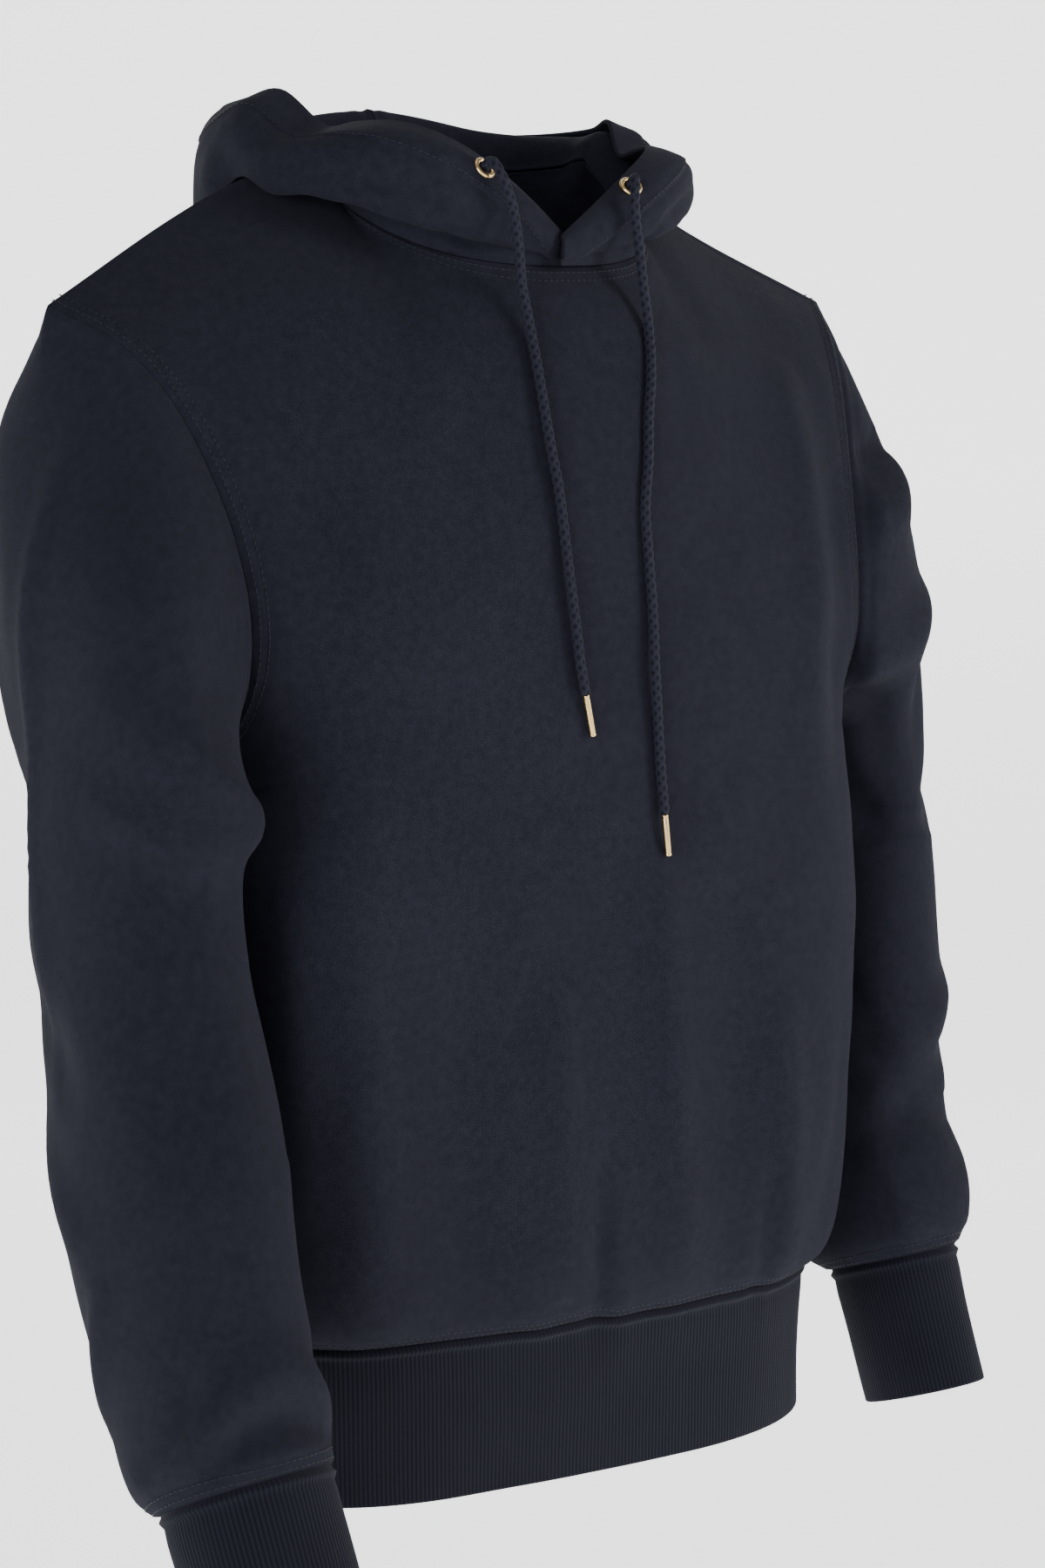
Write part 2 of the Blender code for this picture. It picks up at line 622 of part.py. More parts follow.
eyelet_round = np.linspace(0, 2 * np.pi, 10, endpoint=False)
eyelet_profile = np.column_stack([EYELET_RADIUS + EYELET_WIRE * np.cos(eyelet_round),
                                  EYELET_WIRE * np.sin(eyelet_round)])
tip_radius = TIP_DIAMETER / 2
tip_profile = (
    (tip_radius * 0.9, 0.0),
    (tip_radius, tip_radius * 0.15),
    (tip_radius, TIP_LENGTH - tip_radius * 0.15),
    (tip_radius * 0.9, TIP_LENGTH),
)
for side, word, lap, lift, place, route in (
        (-1, "right", UNDERLAP, 0.0, EYELET_PLACE_RIGHT, CORD_ROUTE_RIGHT),
        (1, "left", OVERLAP, LAP_LIFT, EYELET_PLACE_LEFT, CORD_ROUTE_LEFT)):
    grid = hood_grid(side, lap, lift)
    facing = hood_facing(grid, side)
    wall("hood_" + word, grid, facing, HOOD_CLOTH, False, fleece)
    order = slice(None, None, side)
    centre = on_grid(grid[:, order], place)
    axis = unit(on_grid(facing[:, order], place))
    turned("eyelet_" + word, centre + axis * (EYELET_CLEAR + EYELET_WIRE), axis,
           eyelet_profile, 24, brass, True)
    knots = np.array([centre + axis * CORD_CLEAR, centre + axis * CORD_OUT, *route])
    steps = np.linalg.norm(np.diff(knots, axis=0), axis=1)
    marks = np.concatenate([[0], np.cumsum(steps)])
    line = smooth(knots, np.linspace(marks[1], marks[-1], 400), marks)
    line = even(line, int(round(marks[-1] / CORD_STEP)))
    cord("cord_" + word, [knots[0], *line], cord_yarn)
    fall = unit(line[-1] - line[-2])
    turned("aglet_" + word, line[-1] + fall * TIP_GAP, fall, tip_profile, 16, brass, False)
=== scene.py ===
"""Looks of a pullover hoodie: brushed navy fleece, rib cuffs and hem, lying hood, drawcord.

Metres, +Z up. +X is the wearer's left and -Y the front. The origin is the centre of the neck
opening, level with the tops of the shoulder seams. Each piece follows its own solid's form.
"""
import math

import bpy
import numpy as np
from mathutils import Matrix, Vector


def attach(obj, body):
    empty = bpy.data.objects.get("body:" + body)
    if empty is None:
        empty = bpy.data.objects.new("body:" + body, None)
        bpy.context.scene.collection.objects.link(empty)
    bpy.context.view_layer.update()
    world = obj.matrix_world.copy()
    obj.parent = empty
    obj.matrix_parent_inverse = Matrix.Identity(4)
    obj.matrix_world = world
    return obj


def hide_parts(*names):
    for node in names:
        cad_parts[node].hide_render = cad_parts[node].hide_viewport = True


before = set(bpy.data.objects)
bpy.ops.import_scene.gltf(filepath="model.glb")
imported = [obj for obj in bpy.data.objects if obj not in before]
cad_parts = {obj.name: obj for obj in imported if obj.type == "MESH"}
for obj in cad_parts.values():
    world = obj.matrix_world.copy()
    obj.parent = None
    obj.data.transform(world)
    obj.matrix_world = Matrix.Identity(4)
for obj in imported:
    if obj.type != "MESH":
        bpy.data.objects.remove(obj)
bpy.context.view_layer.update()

# ---------------------------------------------------------------------------------------
# Camera and studio: a portrait lens at chest height off the wearer's right front, before a
# sweep of white paper, with a soft key from the wearer's left front and a fill opposite.
# ---------------------------------------------------------------------------------------
CAMERA_PLACE = (-0.970, -1.335, -0.060)
CAMERA_HEADING = math.radians(37.15)
CAMERA_DIP = math.radians(8.9)
LENS_MM = 73.44
SENSOR_MM = 36.0
FLOOR_HEIGHT = -1.42
FLOOR_REACH = 30.0
SWEEP_DEPTH = 3.2
SWEEP_RADIUS = 1.0
SWEEP_HEIGHT = 3.2
SWEEP_STEPS = 24
PAPER = (0.92, 0.92, 0.92, 1.0)
PAPER_GLOW = 1.50
AIR = (0.95, 0.97, 1.0, 1.0)
AIR_STRENGTH = 0.32
SOFT_LIGHTS = (
    # name, place, aim, width, height, watts, colour
    ("key", (1.75, -2.05, 0.55), (0.02, 0.0, -0.30), 1.0, 1.5, 74.0, (1.0, 0.985, 0.965)),
    ("fill", (-2.70, -1.30, 0.20), (0.0, 0.0, -0.35), 1.3, 1.9, 66.0, (0.95, 0.97, 1.0)),
    ("top", (0.0, 0.20, 2.20), (0.0, 0.0, 0.0), 1.6, 1.2, 5.0, (1.0, 1.0, 1.0)),
    ("back", (1.20, 2.10, 0.90), (0.0, 0.1, -0.2), 1.2, 1.6, 14.0, (1.0, 1.0, 1.0)),
)

camera_data = bpy.data.cameras.new("camera")
camera_data.lens = LENS_MM
camera_data.sensor_width = SENSOR_MM
camera = bpy.data.objects.new("camera", camera_data)
camera.location = CAMERA_PLACE
camera.rotation_euler = (math.pi / 2 - CAMERA_DIP, 0.0, -CAMERA_HEADING)
bpy.context.scene.collection.objects.link(camera)
bpy.context.scene.camera = camera


def aim_at(place, target):
    """The rotation of a light at a place that shines on a target."""
    return (Vector(target) - Vector(place)).to_track_quat("-Z", "Y").to_euler()


for name, place, target, width, height, watts, colour in SOFT_LIGHTS:
    light = bpy.data.lights.new(name, "AREA")
    light.shape = "RECTANGLE"
    light.size = width
    light.size_y = height
    light.energy = watts
    light.color = colour
    lamp = bpy.data.objects.new(name, light)
    lamp.location = place
    lamp.rotation_euler = aim_at(place, target)
    bpy.context.scene.collection.objects.link(lamp)

world = bpy.data.worlds.new("studio_air")
world.use_nodes = True
world.node_tree.nodes["Background"].inputs["Color"].default_value = AIR
world.node_tree.nodes["Background"].inputs["Strength"].default_value = AIR_STRENGTH
bpy.context.scene.world = world

turns = np.linspace(0, np.pi / 2, SWEEP_STEPS)
sweep_profile = [(-FLOOR_REACH, FLOOR_HEIGHT), (SWEEP_DEPTH, FLOOR_HEIGHT)]
sweep_profile += [(SWEEP_DEPTH + SWEEP_RADIUS * math.sin(turn),
                   FLOOR_HEIGHT + SWEEP_RADIUS * (1 - math.cos(turn))) for turn in turns[1:]]
sweep_profile.append((SWEEP_DEPTH + SWEEP_RADIUS, FLOOR_HEIGHT + SWEEP_HEIGHT))
heading = (math.sin(CAMERA_HEADING), math.cos(CAMERA_HEADING))
sweep_points = []
for away, height in sweep_profile:
    for across in (-FLOOR_REACH, FLOOR_REACH):
        sweep_points.append((heading[0] * away + heading[1] * across,
                             heading[1] * away - heading[0] * across, height))
sweep_faces = [(2 * k, 2 * k + 1, 2 * k + 3, 2 * k + 2) for k in range(len(sweep_profile) - 1)]
paper_mesh = bpy.data.meshes.new("paper_sweep")
paper_mesh.from_pydata(sweep_points, [], sweep_faces)
paper_mesh.shade_smooth()
paper = bpy.data.materials.new("studio_paper")
paper.use_nodes = True
paper_shader = paper.node_tree.nodes["Principled BSDF"]
paper_shader.inputs["Base Color"].default_value = PAPER
paper_shader.inputs["Roughness"].default_value = 0.9
paper_shader.inputs["Emission Color"].default_value = PAPER
paper_shader.inputs["Emission Strength"].default_value = PAPER_GLOW
paper_mesh.materials.append(paper)
paper_sweep = bpy.data.objects.new("paper_sweep", paper_mesh)
bpy.context.scene.collection.objects.link(paper_sweep)

# ---------------------------------------------------------------------------------------
# Drawcord: a round navy braid, three fat strands each way over a core. It leaves the hood's
# casing through an eyelet on each side and hangs free down the chest.
# ---------------------------------------------------------------------------------------
CORD_DIAMETER = 0.0052
CORD_ROUTES = {
    "right": (
        (-0.0496, -0.0889, -0.0069),
        (-0.0488, -0.0945, -0.0027),
        (-0.047, -0.100, -0.009),
        (-0.044, -0.102, -0.018),
        (-0.041, -0.102, -0.027),
        (-0.038, -0.102, -0.044),
        (-0.036, -0.102, -0.062),
        (-0.034, -0.105, -0.079),
        (-0.035, -0.116, -0.111),
        (-0.035, -0.123, -0.136),
        (-0.034, -0.128, -0.156),
        (-0.033, -0.132, -0.181),
        (-0.032, -0.135, -0.202),
        (-0.030, -0.137, -0.223),
        (-0.028, -0.138, -0.241),
        (-0.025, -0.138, -0.255),
    ),
    "left": (
        (0.0396, -0.0902, -0.0140),
        (0.0382, -0.0950, -0.0091),
        (0.035, -0.100, -0.013),
        (0.033, -0.102, -0.022),
        (0.034, -0.102, -0.032),
        (0.036, -0.102, -0.043),
        (0.038, -0.103, -0.062),
        (0.040, -0.105, -0.083),
        (0.035, -0.113, -0.104),
        (0.028, -0.120, -0.125),
        (0.023, -0.126, -0.146),
        (0.018, -0.130, -0.167),
        (0.017, -0.134, -0.192),
        (0.018, -0.136, -0.217),
        (0.018, -0.138, -0.243),
        (0.020, -0.138, -0.268),
        (0.022, -0.138, -0.294),
        (0.024, -0.139, -0.318),
    ),
}
BRAID_SIDES = 32
BRAID_STEP = 0.00075
BRAID_LAY = 0.0150
BRAID_LOBES = 3
BRAID_RELIEF = 0.00075
ROUTE_READS = 1200
SPOKE_START = (1.0, 0.3, 0.2)
TIP_GAP = 0.0004
TIP_LENGTH = 0.021
TIP_RADIUS = 0.0017
TIP_SIDES = 40
# braid yarn navy: the deep one is painted shade between the strands, the light one the lit strand
# crests; fibre noise mixes in a little of both
CORD_NAVY_SHADED = (0.0012, 0.0014, 0.0028, 1.0)
CORD_NAVY_LIT = (0.0160, 0.0170, 0.0270, 1.0)
BRASS = (0.78, 0.56, 0.27, 1.0)
BRASS_WORN = (0.60, 0.40, 0.18, 1.0)


def unit(vectors):
    """Vectors scaled to length one."""
    vectors = np.asarray(vectors, float)
    return vectors / np.linalg.norm(vectors, axis=-1, keepdims=True)


def smooth(table, places, marks=None):
    """Read a table's rows as smooth curves; its rows stand at the marks, or evenly, 0 to 1."""
    rows = np.asarray(table, float)
    marks = np.linspace(0, 1, len(rows)) if marks is None else np.asarray(marks, float)
    slopes = np.gradient(rows, marks, axis=0)
    low = np.clip(np.searchsorted(marks, places, side="right") - 1, 0, len(rows) - 2)
    shape = (-1,) + (1,) * (rows.ndim - 1)
    step = (marks[low + 1] - marks[low]).reshape(shape)
    part = (np.asarray(places, float) - marks[low]).reshape(shape) / step
    rest = 1 - part
    return (rows[low] * rest ** 2 * (1 + 2 * part) + rows[low + 1] * part ** 2 * (1 + 2 * rest)
            + (slopes[low] * rest - slopes[low + 1] * part) * step * part * rest)


def run_along(points):
    """The length along a line of points, from its start to each of them."""
    return np.concatenate([[0], np.cumsum(np.linalg.norm(np.diff(points, axis=0), axis=1))])


def even(points, count, inner=None):
    """A polyline's points again, evenly spaced, or with only its outer end stretched."""
    points = np.asarray(points, float)
    run = run_along(points)
    share = np.linspace(0, 1, count)
    marks = run[-1] * share
    if inner:
        marks = inner * share + (run[-1] - inner) * share ** 4
    return np.stack([np.interp(marks, run, points[:, k]) for k in range(points.shape[1])], axis=1)


def placed(name, mesh, material):
    """A finished piece of the garment: smooth, with its material, riding on the one body."""
    mesh.materials.clear()
    mesh.materials.append(material)
    mesh.shade_smooth()
    piece = bpy.data.objects.new(name, mesh)
    bpy.context.scene.collection.objects.link(piece)
    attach(piece, "root")
    return piece


def tube(name, line, radii, sides):
    """A mesh tube along a line, with a radius for each ring and side, and a UV in metres."""
    tangents = unit(np.gradient(line, axis=0))
    spokes = [unit(np.cross(tangents[0], SPOKE_START))]
    for tangent in tangents[1:]:
        last = spokes[-1] - tangent * np.dot(spokes[-1], tangent)
        spokes.append(unit(last))
    spokes = np.array(spokes)
    binormals = np.cross(tangents, spokes)
    angles = np.linspace(0, 2 * np.pi, sides, endpoint=False)
    rings = (line[:, None] + radii[..., None] * (
        spokes[:, None] * np.cos(angles)[None, :, None]
        + binormals[:, None] * np.sin(angles)[None, :, None]))
    count = len(line)
    ring, side = np.meshgrid(np.arange(count - 1), np.arange(sides), indexing="ij")
    after = (side + 1) % sides
    faces = np.stack([ring * sides + side, ring * sides + after,
                      (ring + 1) * sides + after, (ring + 1) * sides + side], axis=-1)
    ends = [list(range(sides))[::-1], list(range((count - 1) * sides, count * sides))]
    mesh = bpy.data.meshes.new(name)
    mesh.from_pydata(rings.reshape(-1, 3).tolist(), [], faces.reshape(-1, 4).tolist() + ends)
    run = run_along(line)
    around = np.stack([side, side + 1, side + 1, side], axis=-1) * (2 * np.pi / sides)
    along = np.stack([run[ring], run[ring], run[ring + 1], run[ring + 1]], axis=-1)
    corners = np.stack([around * radii.mean(), along], axis=-1).reshape(-1, 2)
    corners = np.concatenate([corners, np.zeros((2 * sides, 2))])
    layer = mesh.uv_layers.new(name="cloth")
    layer.data.foreach_set("uv", corners.ravel())
    return mesh


def lathe(name, start, axis, profile, segments, ring_shaped):
    """A turned mesh about an axis from (radius, height) points; a ring's profile is closed."""
    across = unit(np.cross(axis, (0.0, 0.0, 1.0)))
    upward = np.cross(axis, across)
    turn = np.linspace(0, 2 * np.pi, segments, endpoint=False)[:, None, None]
    radius, height = np.array(profile).T[..., None]
    points = start + radius * (across * np.cos(turn) + upward * np.sin(turn)) + axis * height
    count = len(profile)
    steps = count if ring_shaped else count - 1
    segment, step = np.meshgrid(np.arange(segments), np.arange(steps), indexing="ij")
    follow, after = (segment + 1) % segments, (step + 1) % count
    faces = np.stack([segment * count + step, follow * count + step,
                      follow * count + after, segment * count + after], axis=-1)
    faces = faces.reshape(-1, 4).tolist()
    if not ring_shaped:
        faces.append([k * count for k in range(segments)][::-1])
        faces.append([k * count + count - 1 for k in range(segments)])
    mesh = bpy.data.meshes.new(name)
    mesh.from_pydata(points.reshape(-1, 3).tolist(), [], faces)
    return mesh


def finish_nodes(name):
    """A new material, with its node tree, its shader and a helper that adds linked nodes."""
    material = bpy.data.materials.new(name)
    material.use_nodes = True
    tree = material.node_tree
    shader = tree.nodes["Principled BSDF"]

    def add(kind, settings, values, links):
        node = tree.nodes.new(kind)
        for key, value in settings.items():
            setattr(node, key, value)
        for key, value in values.items():
            node.inputs[key].default_value = value
        for key, socket in links.items():
            tree.links.new(socket, node.inputs[key])
        return node

    return material, tree, shader, add


def noise(add, scale, detail, roughness):
    """Noise over a piece's own place, its scale in cells to the metre."""
    place = add("ShaderNodeTexCoord", {}, {}, {})
    return add("ShaderNodeTexNoise", {},
               {"Scale": scale, "Detail": detail, "Roughness": roughness},
               {"Vector": place.outputs["Object"]}).outputs["Fac"]


def part_of(add, value, share, rest):
    """A share of one value added to another."""
    return add("ShaderNodeMath", {"operation": "MULTIPLY_ADD"}, {1: share},
               {0: value, 2: rest}).outputs["Value"]


def toned(tree, shader, add, deep, light, share):
    """The shader's colour, from deep to light."""
    tone = add("ShaderNodeMix", {"data_type": "RGBA"}, {"A": deep, "B": light}, {"Factor": share})
    tree.links.new(tone.outputs["Result"], shader.inputs["Base Color"])


def grained(tree, shader, add, height, strength, distance):
    """The shader's fine bump."""
    grain = add("ShaderNodeBump", {}, {"Strength": strength, "Distance": distance},
                {"Height": height})
    tree.links.new(grain.outputs["Normal"], shader.inputs["Normal"])


def surfaced(shader, **values):
    """The shader's own values, such as roughness and sheen, by their sockets' names."""
    for name, value in values.items():
        shader.inputs[name.replace("_", " ")].default_value = value


def brass_finish():
    """Polished brass, a little worn and fingered."""
    material, tree, shader, add = finish_nodes("polished_brass")
    wear = noise(add, 420.0, 4.0, 0.6)
    rough = add("ShaderNodeMapRange", {}, {"To Min": 0.16, "To Max": 0.38}, {"Value": wear})
    tree.links.new(rough.outputs["Result"], shader.inputs["Roughness"])
    toned(tree, shader, add, BRASS, BRASS_WORN, wear)
    grained(tree, shader, add, wear, 0.12, 0.0001)
    surfaced(shader, Metallic=1.0)
    return material


def braid_finish():
    """Matt navy yarn: painted shade darkens it down between the strands and its crests are painted
    lighter, with a fine fibre bump.
    """
    material, tree, shader, add = finish_nodes("navy_braid")
    fibre = noise(add, 2600.0, 3.0, 0.7)
    # painted shade: the strands' relief darkens the colour down between them and lightens their
    # crests
    depth = add("ShaderNodeAttribute", {"attribute_name": "relief"}, {}, {})
    shade = add("ShaderNodeMath", {"operation": "MULTIPLY_ADD"}, {1: 0.75, 2: 0.05},
                {0: depth.outputs["Fac"]})
    mixed = part_of(add, fibre, 0.25, shade.outputs["Value"])
    toned(tree, shader, add, CORD_NAVY_SHADED, CORD_NAVY_LIT, mixed)
    grained(tree, shader, add, fibre, 0.5, 0.0002)
    surfaced(shader, Roughness=0.82, Sheen_Weight=0.02, Sheen_Roughness=0.5,
             Specular_IOR_Level=0.08)
    return material


brass = brass_finish()
braid = braid_finish()
tip_profile = (
    # share of the radius, share of the length
    (0.74, 0.000), (0.92, 0.006), (1.03, 0.025), (1.03, 0.045), (0.95, 0.070), (0.95, 0.095),
    (1.00, 0.120), (1.00, 0.500), (1.00, 0.880), (0.95, 0.905), (0.95, 0.930), (1.03, 0.955),
    (1.03, 0.975), (0.92, 0.994), (0.74, 1.000),
)
for side, route in CORD_ROUTES.items():
    knots = np.array(route)
    marks = run_along(knots)
    line = smooth(knots, np.linspace(0, marks[-1], ROUTE_READS), marks)
    length = run_along(line)[-1]
    line = even(line, int(length / BRAID_STEP) + 1)
    run = run_along(line)[:, None]
    angle = np.linspace(0, 2 * np.pi, BRAID_SIDES, endpoint=False)[None]
    twist = 2 * np.pi * run / BRAID_LAY
    one_way = np.cos(BRAID_LOBES * (angle + twist))
    other_way = np.cos(BRAID_LOBES * (angle - twist))
    relief = np.maximum(one_way, other_way) * 0.5 + 0.5
    radii = CORD_DIAMETER / 2 - BRAID_RELIEF * (1 - relief)
    cord_mesh = tube("drawcord_" + side, line, radii, BRAID_SIDES)
    depth = cord_mesh.attributes.new("relief", "FLOAT", "POINT")
    depth.data.foreach_set("value", relief.ravel())
    drawcord = placed("drawcord_" + side, cord_mesh, braid)
    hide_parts("cord_" + side)

    fall = unit(line[-1] - line[-3])
    profile = np.array(tip_profile) * (TIP_RADIUS, TIP_LENGTH)
    tip_mesh = lathe("cord_tip_" + side, line[-1] + fall * TIP_GAP, fall, profile, TIP_SIDES, False)
    tip = placed("cord_tip_" + side, tip_mesh, brass)
    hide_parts("aglet_" + side)

# ---------------------------------------------------------------------------------------
# Front body: one panel of brushed navy fleece, cut with a scooped neck, sloping shoulders
# and set-in armholes. It blouses a little over the hem band and hangs in soft folds.
# ---------------------------------------------------------------------------------------
FLEECE = 0.0022
NECK_HALF_WIDTH = 0.088
NECK_MID_Y = 0.005
NECK_FRONT = (-0.086, -0.052)
NECK_SIDE_HEIGHT = 0.003
NECK_SQUARENESS = 2.6
NECK_DIP = 0.7
HEM_SLOPE = -0.062
SLOPE_TOP = -0.36
BODY_SECTIONS = (
    # height, half width, front depth, back depth, front squareness, back squareness
    (-0.577, 0.1920, 0.1180, 0.1100, 3.2, 2.6),
    (-0.567, 0.1960, 0.1260, 0.1160, 3.6, 2.7),
    (-0.545, 0.1955, 0.1320, 0.1190, 4.2, 2.8),
    (-0.500, 0.1945, 0.1360, 0.1180, 4.8, 2.8),
    (-0.420, 0.1940, 0.1370, 0.1160, 5.0, 2.8),
    (-0.350, 0.1945, 0.1360, 0.1150, 4.8, 2.8),
    (-0.300, 0.1960, 0.1340, 0.1150, 4.2, 2.8),
)
FRONT_RISE = (
    # centre y, centre z, edge x, edge y, edge z, squareness
    (-0.1340, -0.300, 0.1960, 0.000, -0.300, 4.2),
    (-0.1345, -0.272, 0.1960, -0.056, -0.288, 3.8),
    (-0.1340, -0.240, 0.1910, -0.092, -0.255, 3.4),
    (-0.1320, -0.205, 0.1890, -0.099, -0.214, 3.1),
    (-0.1270, -0.165, 0.1935, -0.089, -0.168, 2.8),
    (-0.1190, -0.125, 0.2035, -0.071, -0.127, 2.6),
    (-0.1060, -0.086, 0.2175, -0.048, -0.094, 2.5),
    (-0.0860, -0.052, 0.2400, -0.007, -0.070, 2.4),
)
SHOULDER_CROWN = 0.001
SHOULDER_UNEVEN = 0.008
SHOULDER_REACH = -0.12
SIDE_PULL = 3.0
RISE_PULL = 1.5
SPREAD_STEPS = 14
CHEST_SPAN = 0.215
BODY_ROWS = 7
RISE_ROWS = 10
NECK_COLUMNS = 7
HALF_COLUMNS = 14
PANEL_DOWN = 150
PANEL_ACROSS = 156
END_PLACES = (0.22, 0.48, 0.74)
NEXT_PLACES = (1.35, 1.70)
RING_LAP = 4
SEAM_RIDGE = 0.0009
SEAM_RIDGE_WIDTH = 0.0022
SEAM_VALLEY = 0.0005
SEAM_VALLEY_AT = 0.0085
SEAM_VALLEY_WIDTH = 0.0030
UNEVENNESS = 0.0009
SWELLS = 14
SWELL_LENGTHS = (0.028, 0.110)
SWELL_TURN = 6.28
SWELL_SUM = 3.2
FRONT_SEED = 3
FOLD_FADE = 0.022
FOLD_SPOTS = 48
FOLD_TAPER = 0.7
PANEL_HOLDS = (0.60, 1.0, 1.0, 1.0)
FRONT_FOLDS = (
    # x and z of the start, middle and end, width, rise
    (-0.143, -0.270, -0.150, -0.420, -0.136, -0.590, 0.017, 0.0057),
    (-0.091, -0.300, -0.094, -0.440, -0.090, -0.590, 0.024, -0.0049),
    (-0.040, -0.385, -0.039, -0.460, -0.030, -0.560, 0.013, 0.0049),
    (-0.012, -0.480, -0.009, -0.538, -0.002, -0.590, 0.0075, -0.0046),
    (0.024, -0.330, 0.031, -0.459, 0.050, -0.590, 0.015, 0.0070),
    (0.071, -0.340, 0.076, -0.466, 0.086, -0.590, 0.020, -0.0054),
    (0.103, -0.500, 0.104, -0.550, 0.113, -0.600, 0.0065, -0.0041),
    (0.108, -0.420, 0.112, -0.504, 0.127, -0.590, 0.013, 0.0051),
    (-0.177, -0.340, -0.177, -0.411, -0.174, -0.500, 0.009, 0.0046),
    (0.157, -0.100, 0.142, -0.180, 0.133, -0.330, 0.014, 0.0046),
    (0.176, -0.150, 0.166, -0.220, 0.160, -0.330, 0.014, -0.0035),
    (-0.150, -0.130, -0.158, -0.190, -0.160, -0.260, 0.018, -0.0032),
    (-0.070, -0.066, -0.085, -0.110, -0.110, -0.150, 0.016, 0.0019),
    (0.055, -0.075, 0.075, -0.100, 0.100, -0.120, 0.016, 0.0019),
    (0.165, -0.420, 0.160, -0.500, 0.150, -0.585, 0.014, -0.0038),
    (-0.060, -0.555, -0.040, -0.572, -0.020, -0.585, 0.008, 0.0024),
    (0.005, -0.560, 0.012, -0.575, 0.030, -0.588, 0.007, 0.0030),
)
WALE = 0.00125
COURSE = 0.00105
NAVY_DEEP = (0.0085, 0.0088, 0.0145, 1.0)
NAVY_WORN = (0.0150, 0.0153, 0.0235, 1.0)
SHEEN_TINT = (0.80, 0.83, 0.92, 1.0)
V_SLANT = 1.3


def quarter(half_width, depth, squareness, edge_y=0.0):
    """A level section from the centre line (0, depth) to where it reaches edge_y."""
    stop = math.acos(min(1.0, max(0.0, edge_y / depth)) ** (squareness / 2))
    turn = np.linspace(0, stop, 240)
    x = half_width * np.sin(turn) ** (2 / squareness)
    y = depth * np.cos(turn) ** (2 / squareness)
    return np.stack([x, y], axis=1)


def hem_drop(x, z):
    """How much lower the tilted hem brings a point."""
    share = np.clip((z - SLOPE_TOP) / (BODY_SECTIONS[0][0] - SLOPE_TOP), 0, 1)
    return HEM_SLOPE * x * share


def neck_line(end, count):
    """The neck seam from the centre, front or back, round to the shoulder seam, x at left."""
    depth = end[0] - NECK_MID_Y
    plan = even(quarter(NECK_HALF_WIDTH, depth, NECK_SQUARENESS), count)
    fall = np.clip(plan[:, 1] / depth, 0, 1) ** NECK_DIP
    height = NECK_SIDE_HEIGHT + (end[1] - NECK_SIDE_HEIGHT) * fall
    return np.stack([plan[:, 0], plan[:, 1] + NECK_MID_Y, height], axis=1)


def shoulder_line(tip, count):
    """The shoulder seam from the neck seam to the armhole, with a slight crown."""
    start = np.array([NECK_HALF_WIDTH, NECK_MID_Y, NECK_SIDE_HEIGHT])
    share = np.linspace(0, 1, count)[:, None]
    line = start + (np.asarray(tip) - start) * share
    line[:, 2] += SHOULDER_CROWN * np.sin(np.pi * share[:, 0])
    return line


def rise_row(values, columns):
    """A row of half a panel between the underarm and the shoulder, before the neck shapes it."""
    centre_y, centre_z, edge_x, edge_y, edge_z, squareness = values
    reach = 1 - min(1.0, max(0.0, edge_y / centre_y)) ** squareness
    half_width = edge_x / reach ** (1 / squareness)
    plan = even(quarter(half_width, centre_y, squareness, edge_y), columns + 1, CHEST_SPAN)
    plan[-1] = edge_x, edge_y
    share = np.linspace(0, 1, columns + 1)
    height = centre_z + (edge_z - centre_z) * share ** 2
    return np.column_stack([plan, height])


def spread(shaping, distance):
    """The neck's shaping, spread sideways with distance below it."""
    spread_out = np.concatenate([shaping[1:2] * (-1, 1, 1), shaping])
    for _ in range(int(round(distance * SPREAD_STEPS))):
        inner = (spread_out[:-2] + 2 * spread_out[1:-1] + spread_out[2:]) / 4
        spread_out = np.concatenate([inner[1:2] * (-1, 1, 1), inner, spread_out[-1:]])
    return spread_out[1:]


def half_panel(rise, neck_end, depth_column, square_column):
    """Half a body panel, hem seam to neck and shoulder, centre line to side, x at left."""
    grid = []
    for values in smooth(BODY_SECTIONS, np.linspace(0, 1, BODY_ROWS)):
        depth = math.copysign(values[depth_column], neck_end[0])
        plan = even(quarter(values[1], depth, values[square_column]), HALF_COLUMNS + 1, CHEST_SPAN)
        grid.append(np.column_stack([plan, np.full(HALF_COLUMNS + 1, values[0])]))
    tip = np.array(rise[-1][2:5])
    top = np.concatenate([neck_line(neck_end, NECK_COLUMNS + 1),
                          shoulder_line(tip, HALF_COLUMNS - NECK_COLUMNS + 1)[1:]])
    shaping = top - rise_row(rise[-1], HALF_COLUMNS)
    for place in np.linspace(0, 1, RISE_ROWS)[1:]:
        row = rise_row(smooth(rise, [place])[0], HALF_COLUMNS)
        share = np.array([place ** SIDE_PULL, place ** SIDE_PULL, place ** RISE_PULL])
        grid.append(row + spread(shaping, 1 - place) * share)
    return np.array(grid)


def shoulder_lift(x, z):
    """The right shoulder's cloth stands up and the left one's sags, between neck and armhole."""
    along = np.clip((np.abs(x) - NECK_HALF_WIDTH) / (FRONT_RISE[-1][2] - NECK_HALF_WIDTH), 0, 1)
    share = np.clip(1 - z / SHOULDER_REACH, 0, 1)
    return -SHOULDER_UNEVEN * np.sign(x) * np.sin(np.pi * along) * share


def whole_panel(half):
    """Both halves of a panel, the wearer's right to left."""
    full = np.concatenate([half[:, :0:-1] * (-1, 1, 1), half], axis=1)
    full[..., 2] += hem_drop(full[..., 0], full[..., 2]) + shoulder_lift(full[..., 0], full[..., 2])
    return full


def normals(grid, closed):
    """Unit normals of a grid whose rows go up or down a piece; closed rows are rings."""
    if closed:
        along = np.roll(grid, -1, axis=1) - np.roll(grid, 1, axis=1)
    else:
        along = np.gradient(grid, axis=1)
    return unit(np.cross(along, np.gradient(grid, axis=0)))


